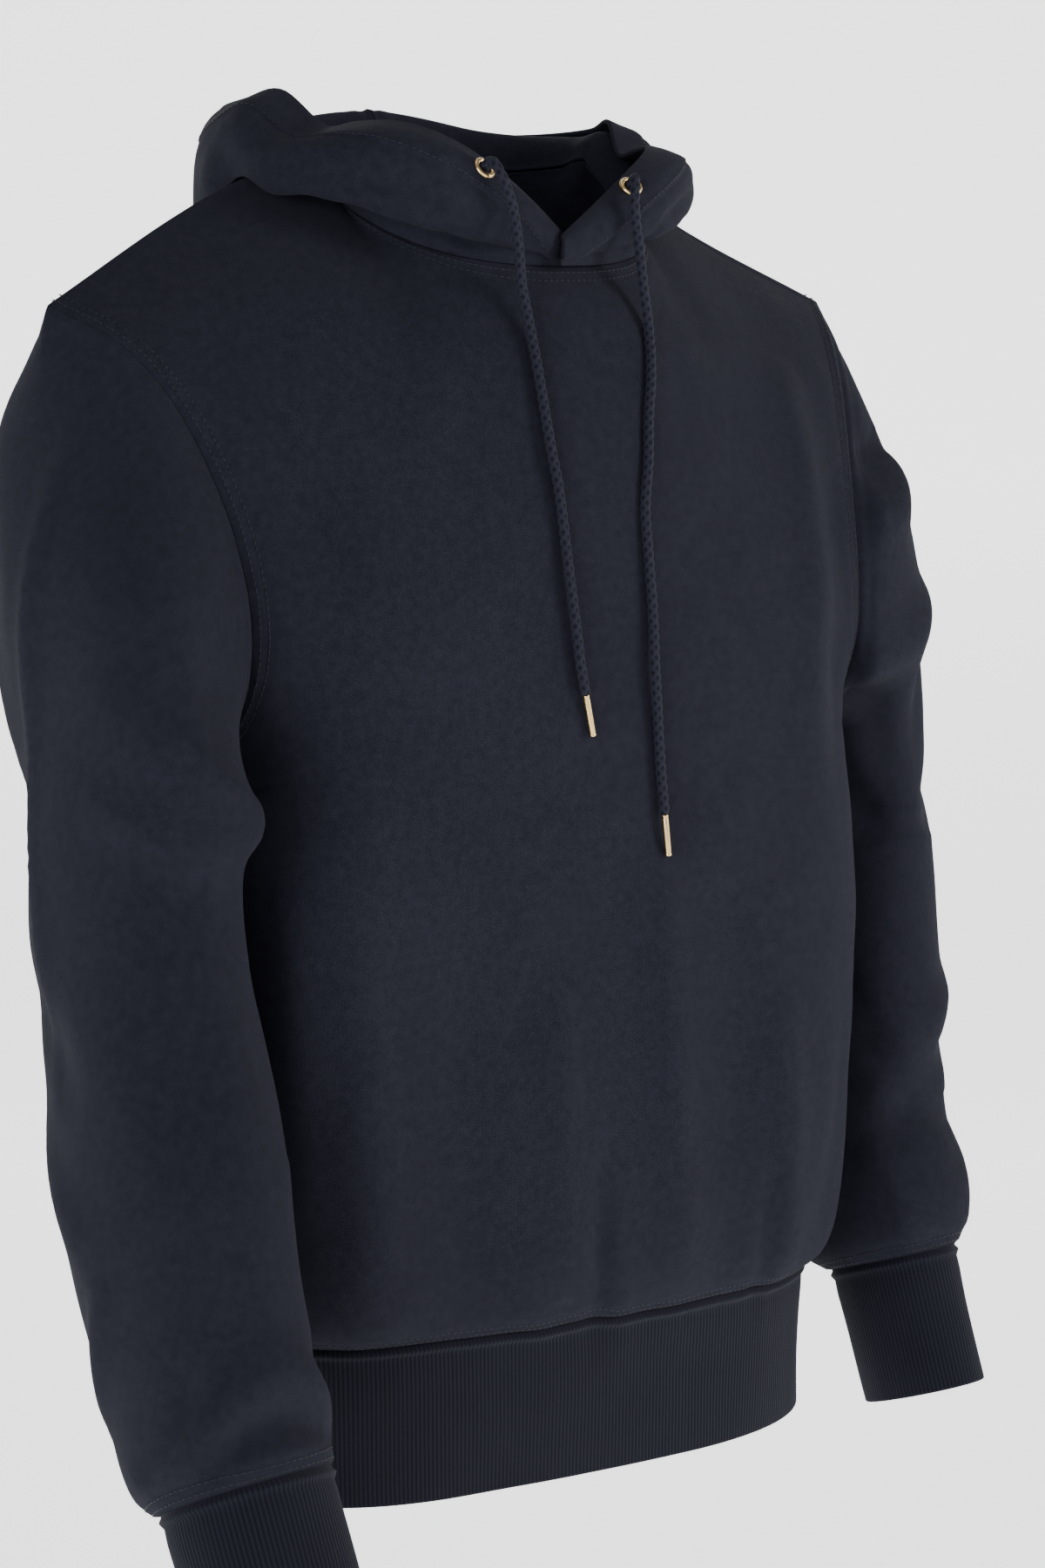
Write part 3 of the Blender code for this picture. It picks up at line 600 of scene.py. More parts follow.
def places(knots, count):
    """Where a fine grid reads its coarse one, crowded near both ends, where the seams are."""
    share = np.linspace(0, 1, count)
    step = share[1]
    ends = step * np.array(END_PLACES)
    inner = step * np.array(NEXT_PLACES)
    share = np.concatenate([share, ends, inner, 1 - ends, 1 - inner])
    return np.sort(share) * (knots - 1), np.arange(knots)


def finer(grid, down, across, closed):
    """The same form read at many more rows and columns."""
    rows, marks = places(len(grid), down)
    grid = smooth(grid, rows, marks)
    if closed:
        count = grid.shape[1]
        around = np.concatenate([grid[:, -RING_LAP:], grid, grid[:, :RING_LAP]], axis=1)
        around = around.swapaxes(0, 1)
        marks = np.arange(-RING_LAP, count + RING_LAP)
        spots = np.linspace(0, count, across, endpoint=False)
        return smooth(around, spots, marks).swapaxes(0, 1)
    columns, marks = places(grid.shape[1], across)
    return smooth(grid.swapaxes(0, 1), columns, marks).swapaxes(0, 1)


def reach_across(grid):
    """Each point's distance along its row from the row's first point."""
    steps = np.linalg.norm(np.diff(grid, axis=1), axis=2)
    return np.concatenate([np.zeros((len(grid), 1)), np.cumsum(steps, axis=1)], axis=1)


def reach_down(grid):
    """Each point's distance along its column from the column's first point."""
    return reach_across(grid.swapaxes(0, 1)).T


def seam_relief(distances):
    """Cloth beside its seams: it rises out of the stitching, over the allowance, and settles."""
    climb = SEAM_RIDGE * np.prod([1 - np.exp(-(distance / SEAM_RIDGE_WIDTH) ** 2)
                                  for distance in distances], axis=0)
    settle = np.max([np.exp(-((distance - SEAM_VALLEY_AT) / SEAM_VALLEY_WIDTH) ** 2)
                     for distance in distances], axis=0)
    return climb - SEAM_VALLEY * settle * np.clip(climb / SEAM_RIDGE, 0, 1)


def seam_distances(grid, closed, seams):
    """The distance from each of the named seams: first and last row, first and last column."""
    down = reach_down(grid)
    distances = {"first_row": down, "last_row": down[-1] - down}
    if not closed:
        across = reach_across(grid)
        distances["first_column"] = across
        distances["last_column"] = across[:, -1:] - across
    return [distances[seam] for seam in seams]


def folds_over(flat, folds):
    """How far the folds lift the cloth, at places of two or three lengths each."""
    lift = np.zeros(flat.shape[:-1])
    share = np.linspace(0, 1, FOLD_SPOTS)[:, None]
    taper = np.sin(np.pi * share[:, 0]) ** FOLD_TAPER
    for values in folds:
        start, middle, end = np.array(values[:-2]).reshape(3, -1)
        bend = 2 * middle - (start + end) / 2
        line = start * (1 - share) ** 2 + 2 * bend * share * (1 - share) + end * share ** 2
        distance = np.linalg.norm(flat[..., None, :] - line, axis=-1)
        nearest = distance.argmin(axis=-1)
        closest = np.take_along_axis(distance, nearest[..., None], axis=-1)[..., 0]
        width, rise = values[-2:]
        lift += rise * taper[nearest] * np.exp(-(closest / width) ** 2)
    return lift


def unevenness(points, seed):
    """Slow swells that no two stretches of cloth share, as a lift of about one at most."""
    rng = np.random.default_rng(seed)
    total = np.zeros(points.shape[:-1])
    for _ in range(SWELLS):
        length = rng.uniform(*SWELL_LENGTHS)
        direction = unit(rng.normal(size=3)) * 2 * np.pi / length
        total += np.sin(points @ direction + rng.uniform(0, SWELL_TURN)) * length / SWELL_LENGTHS[1]
    return total / SWELL_SUM


def shell(name, outer, inner, closed, material):
    """A closed wall of cloth between two grids, with its UV in metres along the cloth."""
    rows, columns = outer.shape[:2]
    spans = columns if closed else columns - 1
    row, column = np.meshgrid(np.arange(rows - 1), np.arange(spans), indexing="ij")
    after = (column + 1) % columns
    behind = rows * columns
    front = np.stack([row * columns + column, row * columns + after,
                      (row + 1) * columns + after, (row + 1) * columns + column], axis=-1)
    faces = [front.reshape(-1, 4), front.reshape(-1, 4)[:, ::-1] + behind]
    loop = outer if not closed else np.concatenate([outer, outer[:, :1]], axis=1)
    middle = loop.shape[1] // 2
    across = reach_across(loop)
    across = across - across[:, middle:middle + 1]
    down = reach_down(loop)
    place = np.stack([across, down], axis=-1)
    corner = np.stack([place[row, column], place[row, column + 1],
                       place[row + 1, column + 1], place[row + 1, column]], axis=-2)
    corners = [corner.reshape(-1, 4, 2), corner.reshape(-1, 4, 2)[:, ::-1]]
    start, stop = np.arange(spans), (np.arange(spans) + 1) % columns
    last = (rows - 1) * columns
    borders = [(np.stack([stop, start, start + behind, stop + behind], axis=-1),
                np.stack([place[0, 1:spans + 1], place[0, :spans]], axis=1)),
               (np.stack([start + last, stop + last, stop + last + behind,
                          start + last + behind], axis=-1),
                np.stack([place[-1, :spans], place[-1, 1:spans + 1]], axis=1))]
    if not closed:
        start = np.arange(rows - 1) * columns
        stop = start + columns
        far = columns - 1
        borders.append((np.stack([start, stop, stop + behind, start + behind], axis=-1),
                        np.stack([place[:-1, 0], place[1:, 0]], axis=1)))
        borders.append((np.stack([stop + far, start + far, start + far + behind,
                                  stop + far + behind], axis=-1),
                        np.stack([place[1:, -1], place[:-1, -1]], axis=1)))
    for border, ends in borders:
        faces.append(border)
        corners.append(np.concatenate([ends, ends[:, ::-1]], axis=1))
    mesh = bpy.data.meshes.new(name)
    points = np.concatenate([outer.reshape(-1, 3), inner.reshape(-1, 3)])
    mesh.from_pydata(points.tolist(), [], np.concatenate(faces).tolist())
    layer = mesh.uv_layers.new(name="cloth")
    layer.data.foreach_set("uv", np.concatenate(corners).ravel())
    return placed(name, mesh, material)


def knit_nodes(add, wale, course):
    """The height of a jersey knit: columns of V stitches, from the cloth's UV in metres."""
    cloth = add("ShaderNodeUVMap", {"uv_map": "cloth"}, {}, {})
    split = add("ShaderNodeSeparateXYZ", {}, {}, {"Vector": cloth.outputs["UV"]})
    column = add("ShaderNodeMath", {"operation": "DIVIDE"}, {1: wale}, {0: split.outputs["X"]})
    within = add("ShaderNodeMath", {"operation": "PINGPONG"}, {1: 0.5},
                 {0: column.outputs["Value"]})
    slant = add("ShaderNodeMath", {"operation": "MULTIPLY"}, {1: V_SLANT},
                {0: within.outputs["Value"]})
    line = add("ShaderNodeMath", {"operation": "DIVIDE"}, {1: course}, {0: split.outputs["Y"]})
    phase = add("ShaderNodeMath", {"operation": "ADD"}, {},
                {0: line.outputs["Value"], 1: slant.outputs["Value"]})
    turn = add("ShaderNodeMath", {"operation": "MULTIPLY"}, {1: 2 * math.pi},
               {0: phase.outputs["Value"]})
    wave = add("ShaderNodeMath", {"operation": "SINE"}, {}, {0: turn.outputs["Value"]})
    return wave.outputs["Value"], within.outputs["Value"]


def fleece_finish(name, deep, worn):
    """Brushed sweatshirt cloth: a fine jersey face with a soft nap and faint mottling."""
    material, tree, shader, add = finish_nodes(name)
    fuzz = noise(add, 1500.0, 3.0, 0.75)
    mottle = noise(add, 210.0, 5.0, 0.65)
    cloud = noise(add, 9.0, 3.0, 0.5)
    wave, within = knit_nodes(add, WALE, COURSE)
    mixed = part_of(add, fuzz, 0.55, mottle)
    mixed = part_of(add, cloud, 0.35, mixed)
    mixed = part_of(add, wave, 0.07, mixed)
    share = add("ShaderNodeMapRange", {}, {"From Min": 0.66, "From Max": 1.22}, {"Value": mixed})
    toned(tree, shader, add, deep, worn, share.outputs["Result"])
    nap = part_of(add, fuzz, 1.6, part_of(add, wave, 0.35, within))
    grained(tree, shader, add, nap, 0.70, 0.00030)
    surfaced(shader, Roughness=0.93, Specular_IOR_Level=0.05, Sheen_Weight=0.025,
             Sheen_Roughness=0.45, Sheen_Tint=SHEEN_TINT)
    return material


fleece = fleece_finish("brushed_navy_fleece", NAVY_DEEP, NAVY_WORN)
front_form = whole_panel(half_panel(FRONT_RISE, NECK_FRONT, 2, 4))
front = finer(front_form, PANEL_DOWN, PANEL_ACROSS, False)
front_facing = normals(front, False)
front_seams = seam_distances(front, False, ("first_row", "last_row", "first_column",
                                            "last_column"))


def ease(distance, reach):
    """Nought at a seam, rising smoothly to one at a distance."""
    share = np.clip(distance / reach, 0, 1)
    return share * share * (3 - 2 * share)


def draped(grid, facing, seams, holds, lift, reach):
    """The cloth with its seam relief, and its folds fading as each seam holds them flat."""
    fade = np.prod([1 - hold * (1 - ease(distance, reach))
                    for distance, hold in zip(seams, holds)], axis=0)
    return grid + facing * (seam_relief(seams) + lift * fade)[..., None]


front_lift = folds_over(front[..., (0, 2)], FRONT_FOLDS) + UNEVENNESS * unevenness(front, FRONT_SEED)
front_cloth = draped(front, front_facing, front_seams, PANEL_HOLDS, front_lift, FOLD_FADE)
front_body = shell("front_body_panel", front_cloth, front_cloth - front_facing * FLEECE, False,
                   fleece)
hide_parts("front_body")

# ---------------------------------------------------------------------------------------
# Back body: one plain panel of the same fleece, joined to the front at the sides and
# shoulders. It hangs from the shoulder blades in long soft folds.
# ---------------------------------------------------------------------------------------
SEAM_DRAW = 0.035
NECK_BACK = (0.068, -0.003)
BACK_SEED = 11
BACK_RISE = (
    # centre y, centre z, edge x, edge y, edge z, squareness
    (0.1150, -0.300, 0.1960, 0.000, -0.300, 2.8),
    (0.1170, -0.270, 0.1925, 0.044, -0.286, 2.8),
    (0.1180, -0.235, 0.1870, 0.070, -0.250, 2.8),
    (0.1170, -0.195, 0.1860, 0.076, -0.205, 2.7),
    (0.1120, -0.150, 0.1930, 0.069, -0.160, 2.6),
    (0.1030, -0.100, 0.2070, 0.052, -0.118, 2.5),
    (0.0880, -0.050, 0.2220, 0.030, -0.089, 2.4),
    (0.0680, -0.003, 0.2400, -0.007, -0.070, 2.4),
)
BACK_FOLDS = (
    # x and z of the start, middle and end, width, rise
    (-0.110, -0.240, -0.104, -0.420, -0.090, -0.590, 0.019, 0.0059),
    (-0.060, -0.330, -0.052, -0.460, -0.044, -0.590, 0.018, -0.0051),
    (0.010, -0.300, 0.004, -0.440, 0.012, -0.590, 0.017, 0.0054),
    (0.056, -0.360, 0.062, -0.470, 0.070, -0.590, 0.015, -0.0049),
    (0.108, -0.260, 0.116, -0.430, 0.122, -0.590, 0.019, 0.0062),
    (-0.150, -0.300, -0.146, -0.430, -0.138, -0.590, 0.014, -0.0046),
    (0.158, -0.180, 0.140, -0.240, 0.110, -0.290, 0.016, 0.0046),
    (-0.160, -0.170, -0.138, -0.235, -0.104, -0.280, 0.016, 0.0049),
    (-0.120, -0.120, -0.090, -0.170, -0.050, -0.200, 0.020, 0.0035),
    (0.124, -0.110, 0.094, -0.160, 0.060, -0.190, 0.020, 0.0032),
    (-0.030, -0.545, -0.024, -0.570, -0.020, -0.590, 0.007, 0.0032),
    (0.086, -0.540, 0.090, -0.565, 0.094, -0.590, 0.007, -0.0035),
)
back_form = whole_panel(half_panel(BACK_RISE, NECK_BACK, 3, 5))[:, ::-1]
back = finer(back_form, PANEL_DOWN, PANEL_ACROSS, False)
rows_read = places(len(back_form), PANEL_DOWN)[0]
columns_read = places(back_form.shape[1], PANEL_ACROSS)[0]


def drawn_to(grid, shift, distance, reach):
    """The grid with one edge shifted on to the seam it is sewn to, fading out beyond it."""
    return grid + shift * (1 - ease(distance, reach))[..., None]


shoulders = np.abs(columns_read - HALF_COLUMNS) >= NECK_COLUMNS
shoulder_shift = (front[-1, ::-1] - back[-1]) * shoulders[:, None]
back = drawn_to(back, shoulder_shift[None], seam_distances(back, False, ("last_row",))[0],
                SEAM_DRAW)
sides = rows_read <= BODY_ROWS - 1
for own, other, edge in ((0, -1, "first_column"), (-1, 0, "last_column")):
    side_shift = (front[:, other] - back[:, own]) * sides[:, None]
    back = drawn_to(back, side_shift[:, None], seam_distances(back, False, (edge,))[0], SEAM_DRAW)
back_facing = normals(back, False)
back_seams = seam_distances(back, False, ("first_row", "last_row", "first_column",
                                          "last_column"))
back_lift = folds_over(back[..., (0, 2)], BACK_FOLDS) + UNEVENNESS * unevenness(back, BACK_SEED)
back_cloth = draped(back, back_facing, back_seams, PANEL_HOLDS, back_lift, FOLD_FADE)
back_body = shell("back_body_panel", back_cloth, back_cloth - back_facing * FLEECE, False, fleece)
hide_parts("back_body")

# ---------------------------------------------------------------------------------------
# Sleeves: one panel each, closed by an underarm seam and set into the armhole. The cap
# drops over the arm, the cloth breaks across the elbow and stacks up above the cuff.
# ---------------------------------------------------------------------------------------
SLEEVE_RINGS = {
    "right": (
        # x, y, z, across, fore and aft, outer rise, forward lean in degrees
        (-0.2395, -0.0780, -0.288, 0.0395, 0.0790, 0.026, 10.0),
        (-0.2405, -0.0760, -0.340, 0.0410, 0.0640, 0.016, 12.0),
        (-0.2410, -0.0900, -0.400, 0.0440, 0.0690, 0.008, 14.0),
        (-0.2410, -0.1070, -0.460, 0.0450, 0.0690, 0.003, 18.0),
        (-0.2400, -0.1210, -0.520, 0.0445, 0.0640, 0.000, 22.0),
        (-0.2380, -0.1380, -0.570, 0.0435, 0.0580, 0.000, 26.0),
        (-0.2360, -0.1500, -0.594, 0.0430, 0.0500, 0.000, 28.0),
        (-0.2345, -0.1570, -0.601, 0.0400, 0.0400, 0.000, 28.0),
    ),
    "left": (
        # x, y, z, across, fore and aft, outer rise, forward lean in degrees
        (0.2410, -0.0110, -0.288, 0.0420, 0.0740, 0.026, 2.0),
        (0.2430, -0.0160, -0.340, 0.0420, 0.0690, 0.016, 3.0),
        (0.2440, -0.0220, -0.400, 0.0430, 0.0680, 0.008, 5.0),
        (0.2455, -0.0280, -0.460, 0.0445, 0.0670, 0.003, 8.0),
        (0.2465, -0.0360, -0.520, 0.0450, 0.0640, 0.000, 13.0),
        (0.2505, -0.0520, -0.575, 0.0430, 0.0590, 0.000, 18.0),
        (0.2510, -0.0620, -0.596, 0.0390, 0.0510, 0.000, 20.0),
        (0.2515, -0.0700, -0.604, 0.0310, 0.0400, 0.000, 21.0),
    ),
}
CAP_ROWS = 7
SLEEVE_ROWS = 11
CAP_OUT = 0.16
CAP_FLARE = 0.55
CAP_SWELL = 0.35
CAP_CLEAR = 0.90
CAP_DOWN = 0.95
CAP_DOWN_FLARE = 0.45
SLEEVE_DOWN = 170
SLEEVE_AROUND = 108
SLEEVE_HOLDS = (1.0, 0.75)
SLEEVE_FADE = 0.018
SLEEVE_UNEVEN = 1.2
SLEEVE_SEED = 23
SEAM_GAP = 0.0003
SLEEVE_FOLDS = {
    "right": (
        # y and z of the start, middle and end, width, rise
        (-0.114, -0.205, -0.146, -0.248, -0.168, -0.290, 0.017, -0.0074),
        (-0.070, -0.120, -0.112, -0.180, -0.140, -0.232, 0.013, 0.0046),
        (-0.100, -0.285, -0.140, -0.305, -0.165, -0.325, 0.012, 0.0054),
        (-0.186, -0.462, -0.192, -0.528, -0.150, -0.585, 0.0085, 0.0057),
        (-0.200, -0.500, -0.196, -0.548, -0.178, -0.578, 0.0060, -0.0054),
        (-0.210, -0.530, -0.204, -0.560, -0.185, -0.582, 0.0070, 0.0049),
        (-0.170, -0.530, -0.165, -0.562, -0.138, -0.590, 0.0070, -0.0051),
        (-0.120, -0.500, -0.110, -0.545, -0.100, -0.580, 0.0100, 0.0046),
        (-0.040, -0.110, -0.052, -0.260, -0.078, -0.440, 0.0080, 0.0035),
        (-0.030, -0.380, -0.070, -0.400, -0.110, -0.430, 0.016, -0.0046),
        (-0.036, -0.440, -0.075, -0.468, -0.110, -0.505, 0.014, 0.0046),
        (-0.140, -0.360, -0.155, -0.410, -0.160, -0.455, 0.014, -0.0041),
        (0.030, -0.180, 0.010, -0.240, -0.020, -0.290, 0.015, 0.0046),
    ),
    "left": (
        # y and z of the start, middle and end, width, rise
        (-0.060, -0.140, -0.082, -0.150, -0.100, -0.176, 0.0070, -0.0068),
        (-0.064, -0.150, -0.086, -0.176, -0.104, -0.200, 0.0080, 0.0068),
        (-0.070, -0.220, -0.090, -0.250, -0.098, -0.290, 0.0100, 0.0068),
        (-0.062, -0.236, -0.080, -0.290, -0.086, -0.345, 0.0100, -0.0076),
        (-0.050, -0.320, -0.072, -0.340, -0.082, -0.362, 0.0090, -0.0046),
        (-0.070, -0.440, -0.094, -0.466, -0.088, -0.510, 0.0085, 0.0062),
        (-0.074, -0.462, -0.098, -0.495, -0.094, -0.530, 0.0085, -0.0062),
        (-0.080, -0.530, -0.100, -0.560, -0.100, -0.590, 0.0080, 0.0046),
        (0.020, -0.180, 0.000, -0.240, -0.020, -0.300, 0.014, 0.0046),
        (0.030, -0.380, 0.000, -0.402, -0.040, -0.440, 0.015, -0.0046),
        (0.020, -0.430, -0.006, -0.470, -0.046, -0.500, 0.013, 0.0049),
        (0.000, -0.540, -0.020, -0.565, -0.060, -0.585, 0.009, 0.0041),
    ),
}


def armhole_marks(side):
    """The armhole seam as (panel, row, column): shoulder, down the front, up the back."""
    underarm = BODY_ROWS - 1
    shoulder = underarm + RISE_ROWS - 1
    front_column = 0 if side < 0 else -1
    back_column = -1 if side < 0 else 0
    marks = [(0, row, front_column) for row in range(shoulder, underarm - 1, -1)]
    marks += [(1, row, back_column) for row in range(underarm + 1, shoulder)]
    return marks


def between(places_read, values, spots):
    """A fine line's points read at spots between its own places."""
    return np.stack([np.interp(spots, places_read, values[:, k]) for k in range(3)], axis=1)


def armhole_line(side, spots):
    """The armhole on the finished panels, at spots counted along its marks."""
    under = RISE_ROWS - 1
    underarm = BODY_ROWS - 1
    front_edge = front[:, 0 if side < 0 else -1]
    back_edge = back[:, -1 if side < 0 else 0]
    down = between(rows_read, front_edge, underarm + under - spots)
    up = between(rows_read, back_edge, underarm + spots - under)
    return np.where((spots <= under)[:, None], down, up)


def ring(values, side, turns):
    """A sleeve ring: turns are 0 outside, a quarter at the front, half inside."""
    x, y, z, across, deep, rise, lean = values
    lean = math.radians(lean)
    cosine, sine = np.cos(turns)[:, None], np.sin(turns)[:, None]
    outward = np.array([side, 0.0, 0.0])
    forward = np.array([0.0, -math.cos(lean), math.sin(lean)])
    up = np.array([0.0, 0.0, 1.0])
    return (np.array([x, y, z]) + across * cosine * outward + deep * sine * forward
            + rise * cosine * up)


def arm_axis(lean):
    """The direction down the arm, square to a ring with this lean."""
    lean = math.radians(lean)
    return np.array([0.0, -math.sin(lean), -math.cos(lean)])


def sleeve_grid(loop, rings, side):
    """A sleeve in rings, from its armhole to its cuff seam."""
    steps = np.linalg.norm(np.roll(loop, -1, axis=0) - loop, axis=1)
    under = RISE_ROWS - 1
    front_run = np.concatenate([[0], np.cumsum(steps[:under])])
    back_run = np.concatenate([[0], np.cumsum(steps[under:])])
    turns = np.pi * np.concatenate([front_run / front_run[-1],
                                    1 + back_run[1:-1] / back_run[-1]])
    loop = loop + np.array([side * SEAM_GAP / 2, 0.0, 0.0])
    first = ring(rings[0], side, turns)
    flare = np.abs(np.sin(turns))[:, None]
    outward, forward, down = np.diag([side, -1.0, -1.0])
    swell = CAP_SWELL * np.maximum(np.sin(turns), 0)[:, None]
    clear = CAP_CLEAR * np.maximum(-np.sin(turns), 0)[:, None]
    leave = unit(outward * (CAP_OUT + CAP_FLARE * flare + clear) + forward * swell
                 + down * (CAP_DOWN - CAP_DOWN_FLARE * flare))
    arrive = arm_axis(rings[0][6])
    span = np.linalg.norm(first - loop, axis=1, keepdims=True)
    grid = []
    for part in np.linspace(0, 1, CAP_ROWS)[:-1]:
        grid.append(loop * (1 - part) ** 2 * (1 + 2 * part) + first * part ** 2 * (3 - 2 * part)
                    + leave * span * part * (1 - part) ** 2
                    - arrive * span * part ** 2 * (1 - part))
    for values in smooth(rings, np.linspace(0, 1, SLEEVE_ROWS)):
        grid.append(ring(values, side, turns))
    grid = np.array(grid)
    return grid if side > 0 else grid[:, ::-1]


sleeves = {}
for side, word in ((-1, "right"), (1, "left")):
    panels = (front_form, back_form)
    loop = np.array([panels[panel][row, column] for panel, row, column in armhole_marks(side)])
    form = finer(sleeve_grid(loop, SLEEVE_RINGS[word], side), SLEEVE_DOWN, SLEEVE_AROUND, True)
    spots = np.linspace(0, len(loop), SLEEVE_AROUND, endpoint=False)
    spots = spots if side > 0 else (len(loop) - 1 - spots) % len(loop)
    shift = armhole_line(side, spots) + (side * SEAM_GAP / 2, 0.0, 0.0) - form[0]
    form = drawn_to(form, shift[None], reach_down(form), SEAM_DRAW)
    facing = normals(form, True)
    seams = seam_distances(form, True, ("first_row", "last_row"))
    lift = folds_over(form[..., (1, 2)], SLEEVE_FOLDS[word])
    lift += SLEEVE_UNEVEN * UNEVENNESS * unevenness(form, SLEEVE_SEED + side)
    cloth = draped(form, facing, seams, SLEEVE_HOLDS, lift, SLEEVE_FADE)
    sleeve = shell("sleeve_panel_" + word, cloth, cloth - facing * FLEECE, True, fleece)
    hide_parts("sleeve_" + word)
    sleeves[word] = form, facing, cloth

# ---------------------------------------------------------------------------------------
# Cuffs and hem band: tubes of navy rib knit, folded double, with the fold at the open edge.
# Each is stretched on to its seam, so the body and the sleeves blouse a little over it.
# ---------------------------------------------------------------------------------------
RIB = 0.0020
CUFF_LENGTH = 0.076
CUFF_TAPER = 0.95
HEM_LENGTH = 0.082
HEM_TAPER = 0.985
RIB_PITCH = 0.0023
RIB_RELIEF = 0.00034
RIB_POINTS = 4
RIB_ROWS = 15
SEAM_SHARES = (0.0, 0.012, 0.024, 0.038, 0.055, 0.08, 0.115)
FOLD_SHARES = (0.982, 0.990, 0.9955, 1.0)
FOLD_RADIUS = 0.0009
ROLL_AT = 0.0028
ROLL_WIDTH = 0.0019
GROOVE_AT = 0.0068
GROOVE_WIDTH = 0.0022
PUCKER_REACH = 0.034
CUFF_ROLL = 0.0016
HEM_ROLL = 0.0019
# rib navy: the deep one is painted shade between the ribs (it is also the thread's darker tone), the
# light one a painted highlight on the crests
RIB_NAVY_DEEP = (0.0034, 0.0036, 0.0060, 1.0)
RIB_NAVY_LIT_CREST = (0.0115, 0.0118, 0.0180, 1.0)
EDGE_WAVE = 0.0008
EDGE_WAVE_REACH = 0.03
EDGE_SEED = 5
RIB_END = 0.97


def rib_finish():
    """Navy rib knit: each rib painted lighter on its crest as a highlight and darker between as
    painted shade, with a fine nap.
    """
    material, tree, shader, add = finish_nodes("navy_rib_knit")
    fuzz = noise(add, 1700.0, 3.0, 0.7)
    cloud = noise(add, 30.0, 4.0, 0.55)
    crest = add("ShaderNodeAttribute", {"attribute_name": "crest"}, {}, {})
    wave = knit_nodes(add, RIB_PITCH / 2, COURSE)[0]
    # painted light: the crest attribute lightens each rib's crest and darkens the hollows between
    # ribs, with random cloud and fuzz over it
    mixed = part_of(add, cloud, 0.45, part_of(add, fuzz, 0.5, crest.outputs["Fac"]))
    share = add("ShaderNodeMapRange", {}, {"From Min": 0.25, "From Max": 1.45}, {"Value": mixed})
    toned(tree, shader, add, RIB_NAVY_DEEP, RIB_NAVY_LIT_CREST, share.outputs["Result"])
    grained(tree, shader, add, part_of(add, wave, 0.3, fuzz), 0.5, 0.00016)
    surfaced(shader, Roughness=0.9, Specular_IOR_Level=0.05, Sheen_Weight=0.08,
             Sheen_Roughness=0.45, Sheen_Tint=SHEEN_TINT)
    return material


def rib_tree(material):
    """Geometry nodes that raise a tube's ribs along its normals, as its attributes say."""
    group = bpy.data.node_groups.new("rib_knit", "GeometryNodeTree")
    group.interface.new_socket("Tube", in_out="INPUT", socket_type="NodeSocketGeometry")
    relief = group.interface.new_socket("Relief", in_out="INPUT", socket_type="NodeSocketFloat")
    group.interface.new_socket("Ribbed", in_out="OUTPUT", socket_type="NodeSocketGeometry")
    nodes, links = group.nodes, group.links
    given = nodes.new("NodeGroupInput")
    crest = nodes.new("GeometryNodeInputNamedAttribute")
    crest.data_type = "FLOAT"
    crest.inputs["Name"].default_value = "crest"
    show = nodes.new("GeometryNodeInputNamedAttribute")
    show.data_type = "FLOAT"
    show.inputs["Name"].default_value = "outside"
    height = nodes.new("ShaderNodeMath")
    height.operation = "MULTIPLY"
    scaled = nodes.new("ShaderNodeMath")
    scaled.operation = "MULTIPLY"
    normal = nodes.new("GeometryNodeInputNormal")
    offset = nodes.new("ShaderNodeVectorMath")
    offset.operation = "SCALE"
    move = nodes.new("GeometryNodeSetPosition")
    real = nodes.new("GeometryNodeRealizeInstances")
    finish = nodes.new("GeometryNodeSetMaterial")
    finish.inputs["Material"].default_value = material
    out = nodes.new("NodeGroupOutput")
    links.new(crest.outputs["Attribute"], height.inputs[0])
    links.new(show.outputs["Attribute"], height.inputs[1])
    links.new(height.outputs["Value"], scaled.inputs[0])
    links.new(given.outputs["Relief"], scaled.inputs[1])
    links.new(normal.outputs["Normal"], offset.inputs[0])
    links.new(scaled.outputs["Value"], offset.inputs["Scale"])
    links.new(given.outputs["Tube"], move.inputs["Geometry"])
    links.new(offset.outputs["Vector"], move.inputs["Offset"])
    links.new(move.outputs["Geometry"], real.inputs["Geometry"])
    links.new(real.outputs["Geometry"], finish.inputs["Geometry"])
    links.new(finish.outputs["Geometry"], out.inputs["Ribbed"])
    return group, relief.identifier


def grown(piece, group, settings):
    """The piece with a node tree's result as its own plain mesh, and no modifier left on it."""
    modifier = piece.modifiers.new("growth", "NODES")
    modifier.node_group = group
    for identifier, value in settings.items():
        modifier[identifier] = value
    seen = bpy.context.evaluated_depsgraph_get()
    mesh = bpy.data.meshes.new_from_object(piece.evaluated_get(seen))
    piece.modifiers.remove(modifier)
    piece.data = mesh
    return piece


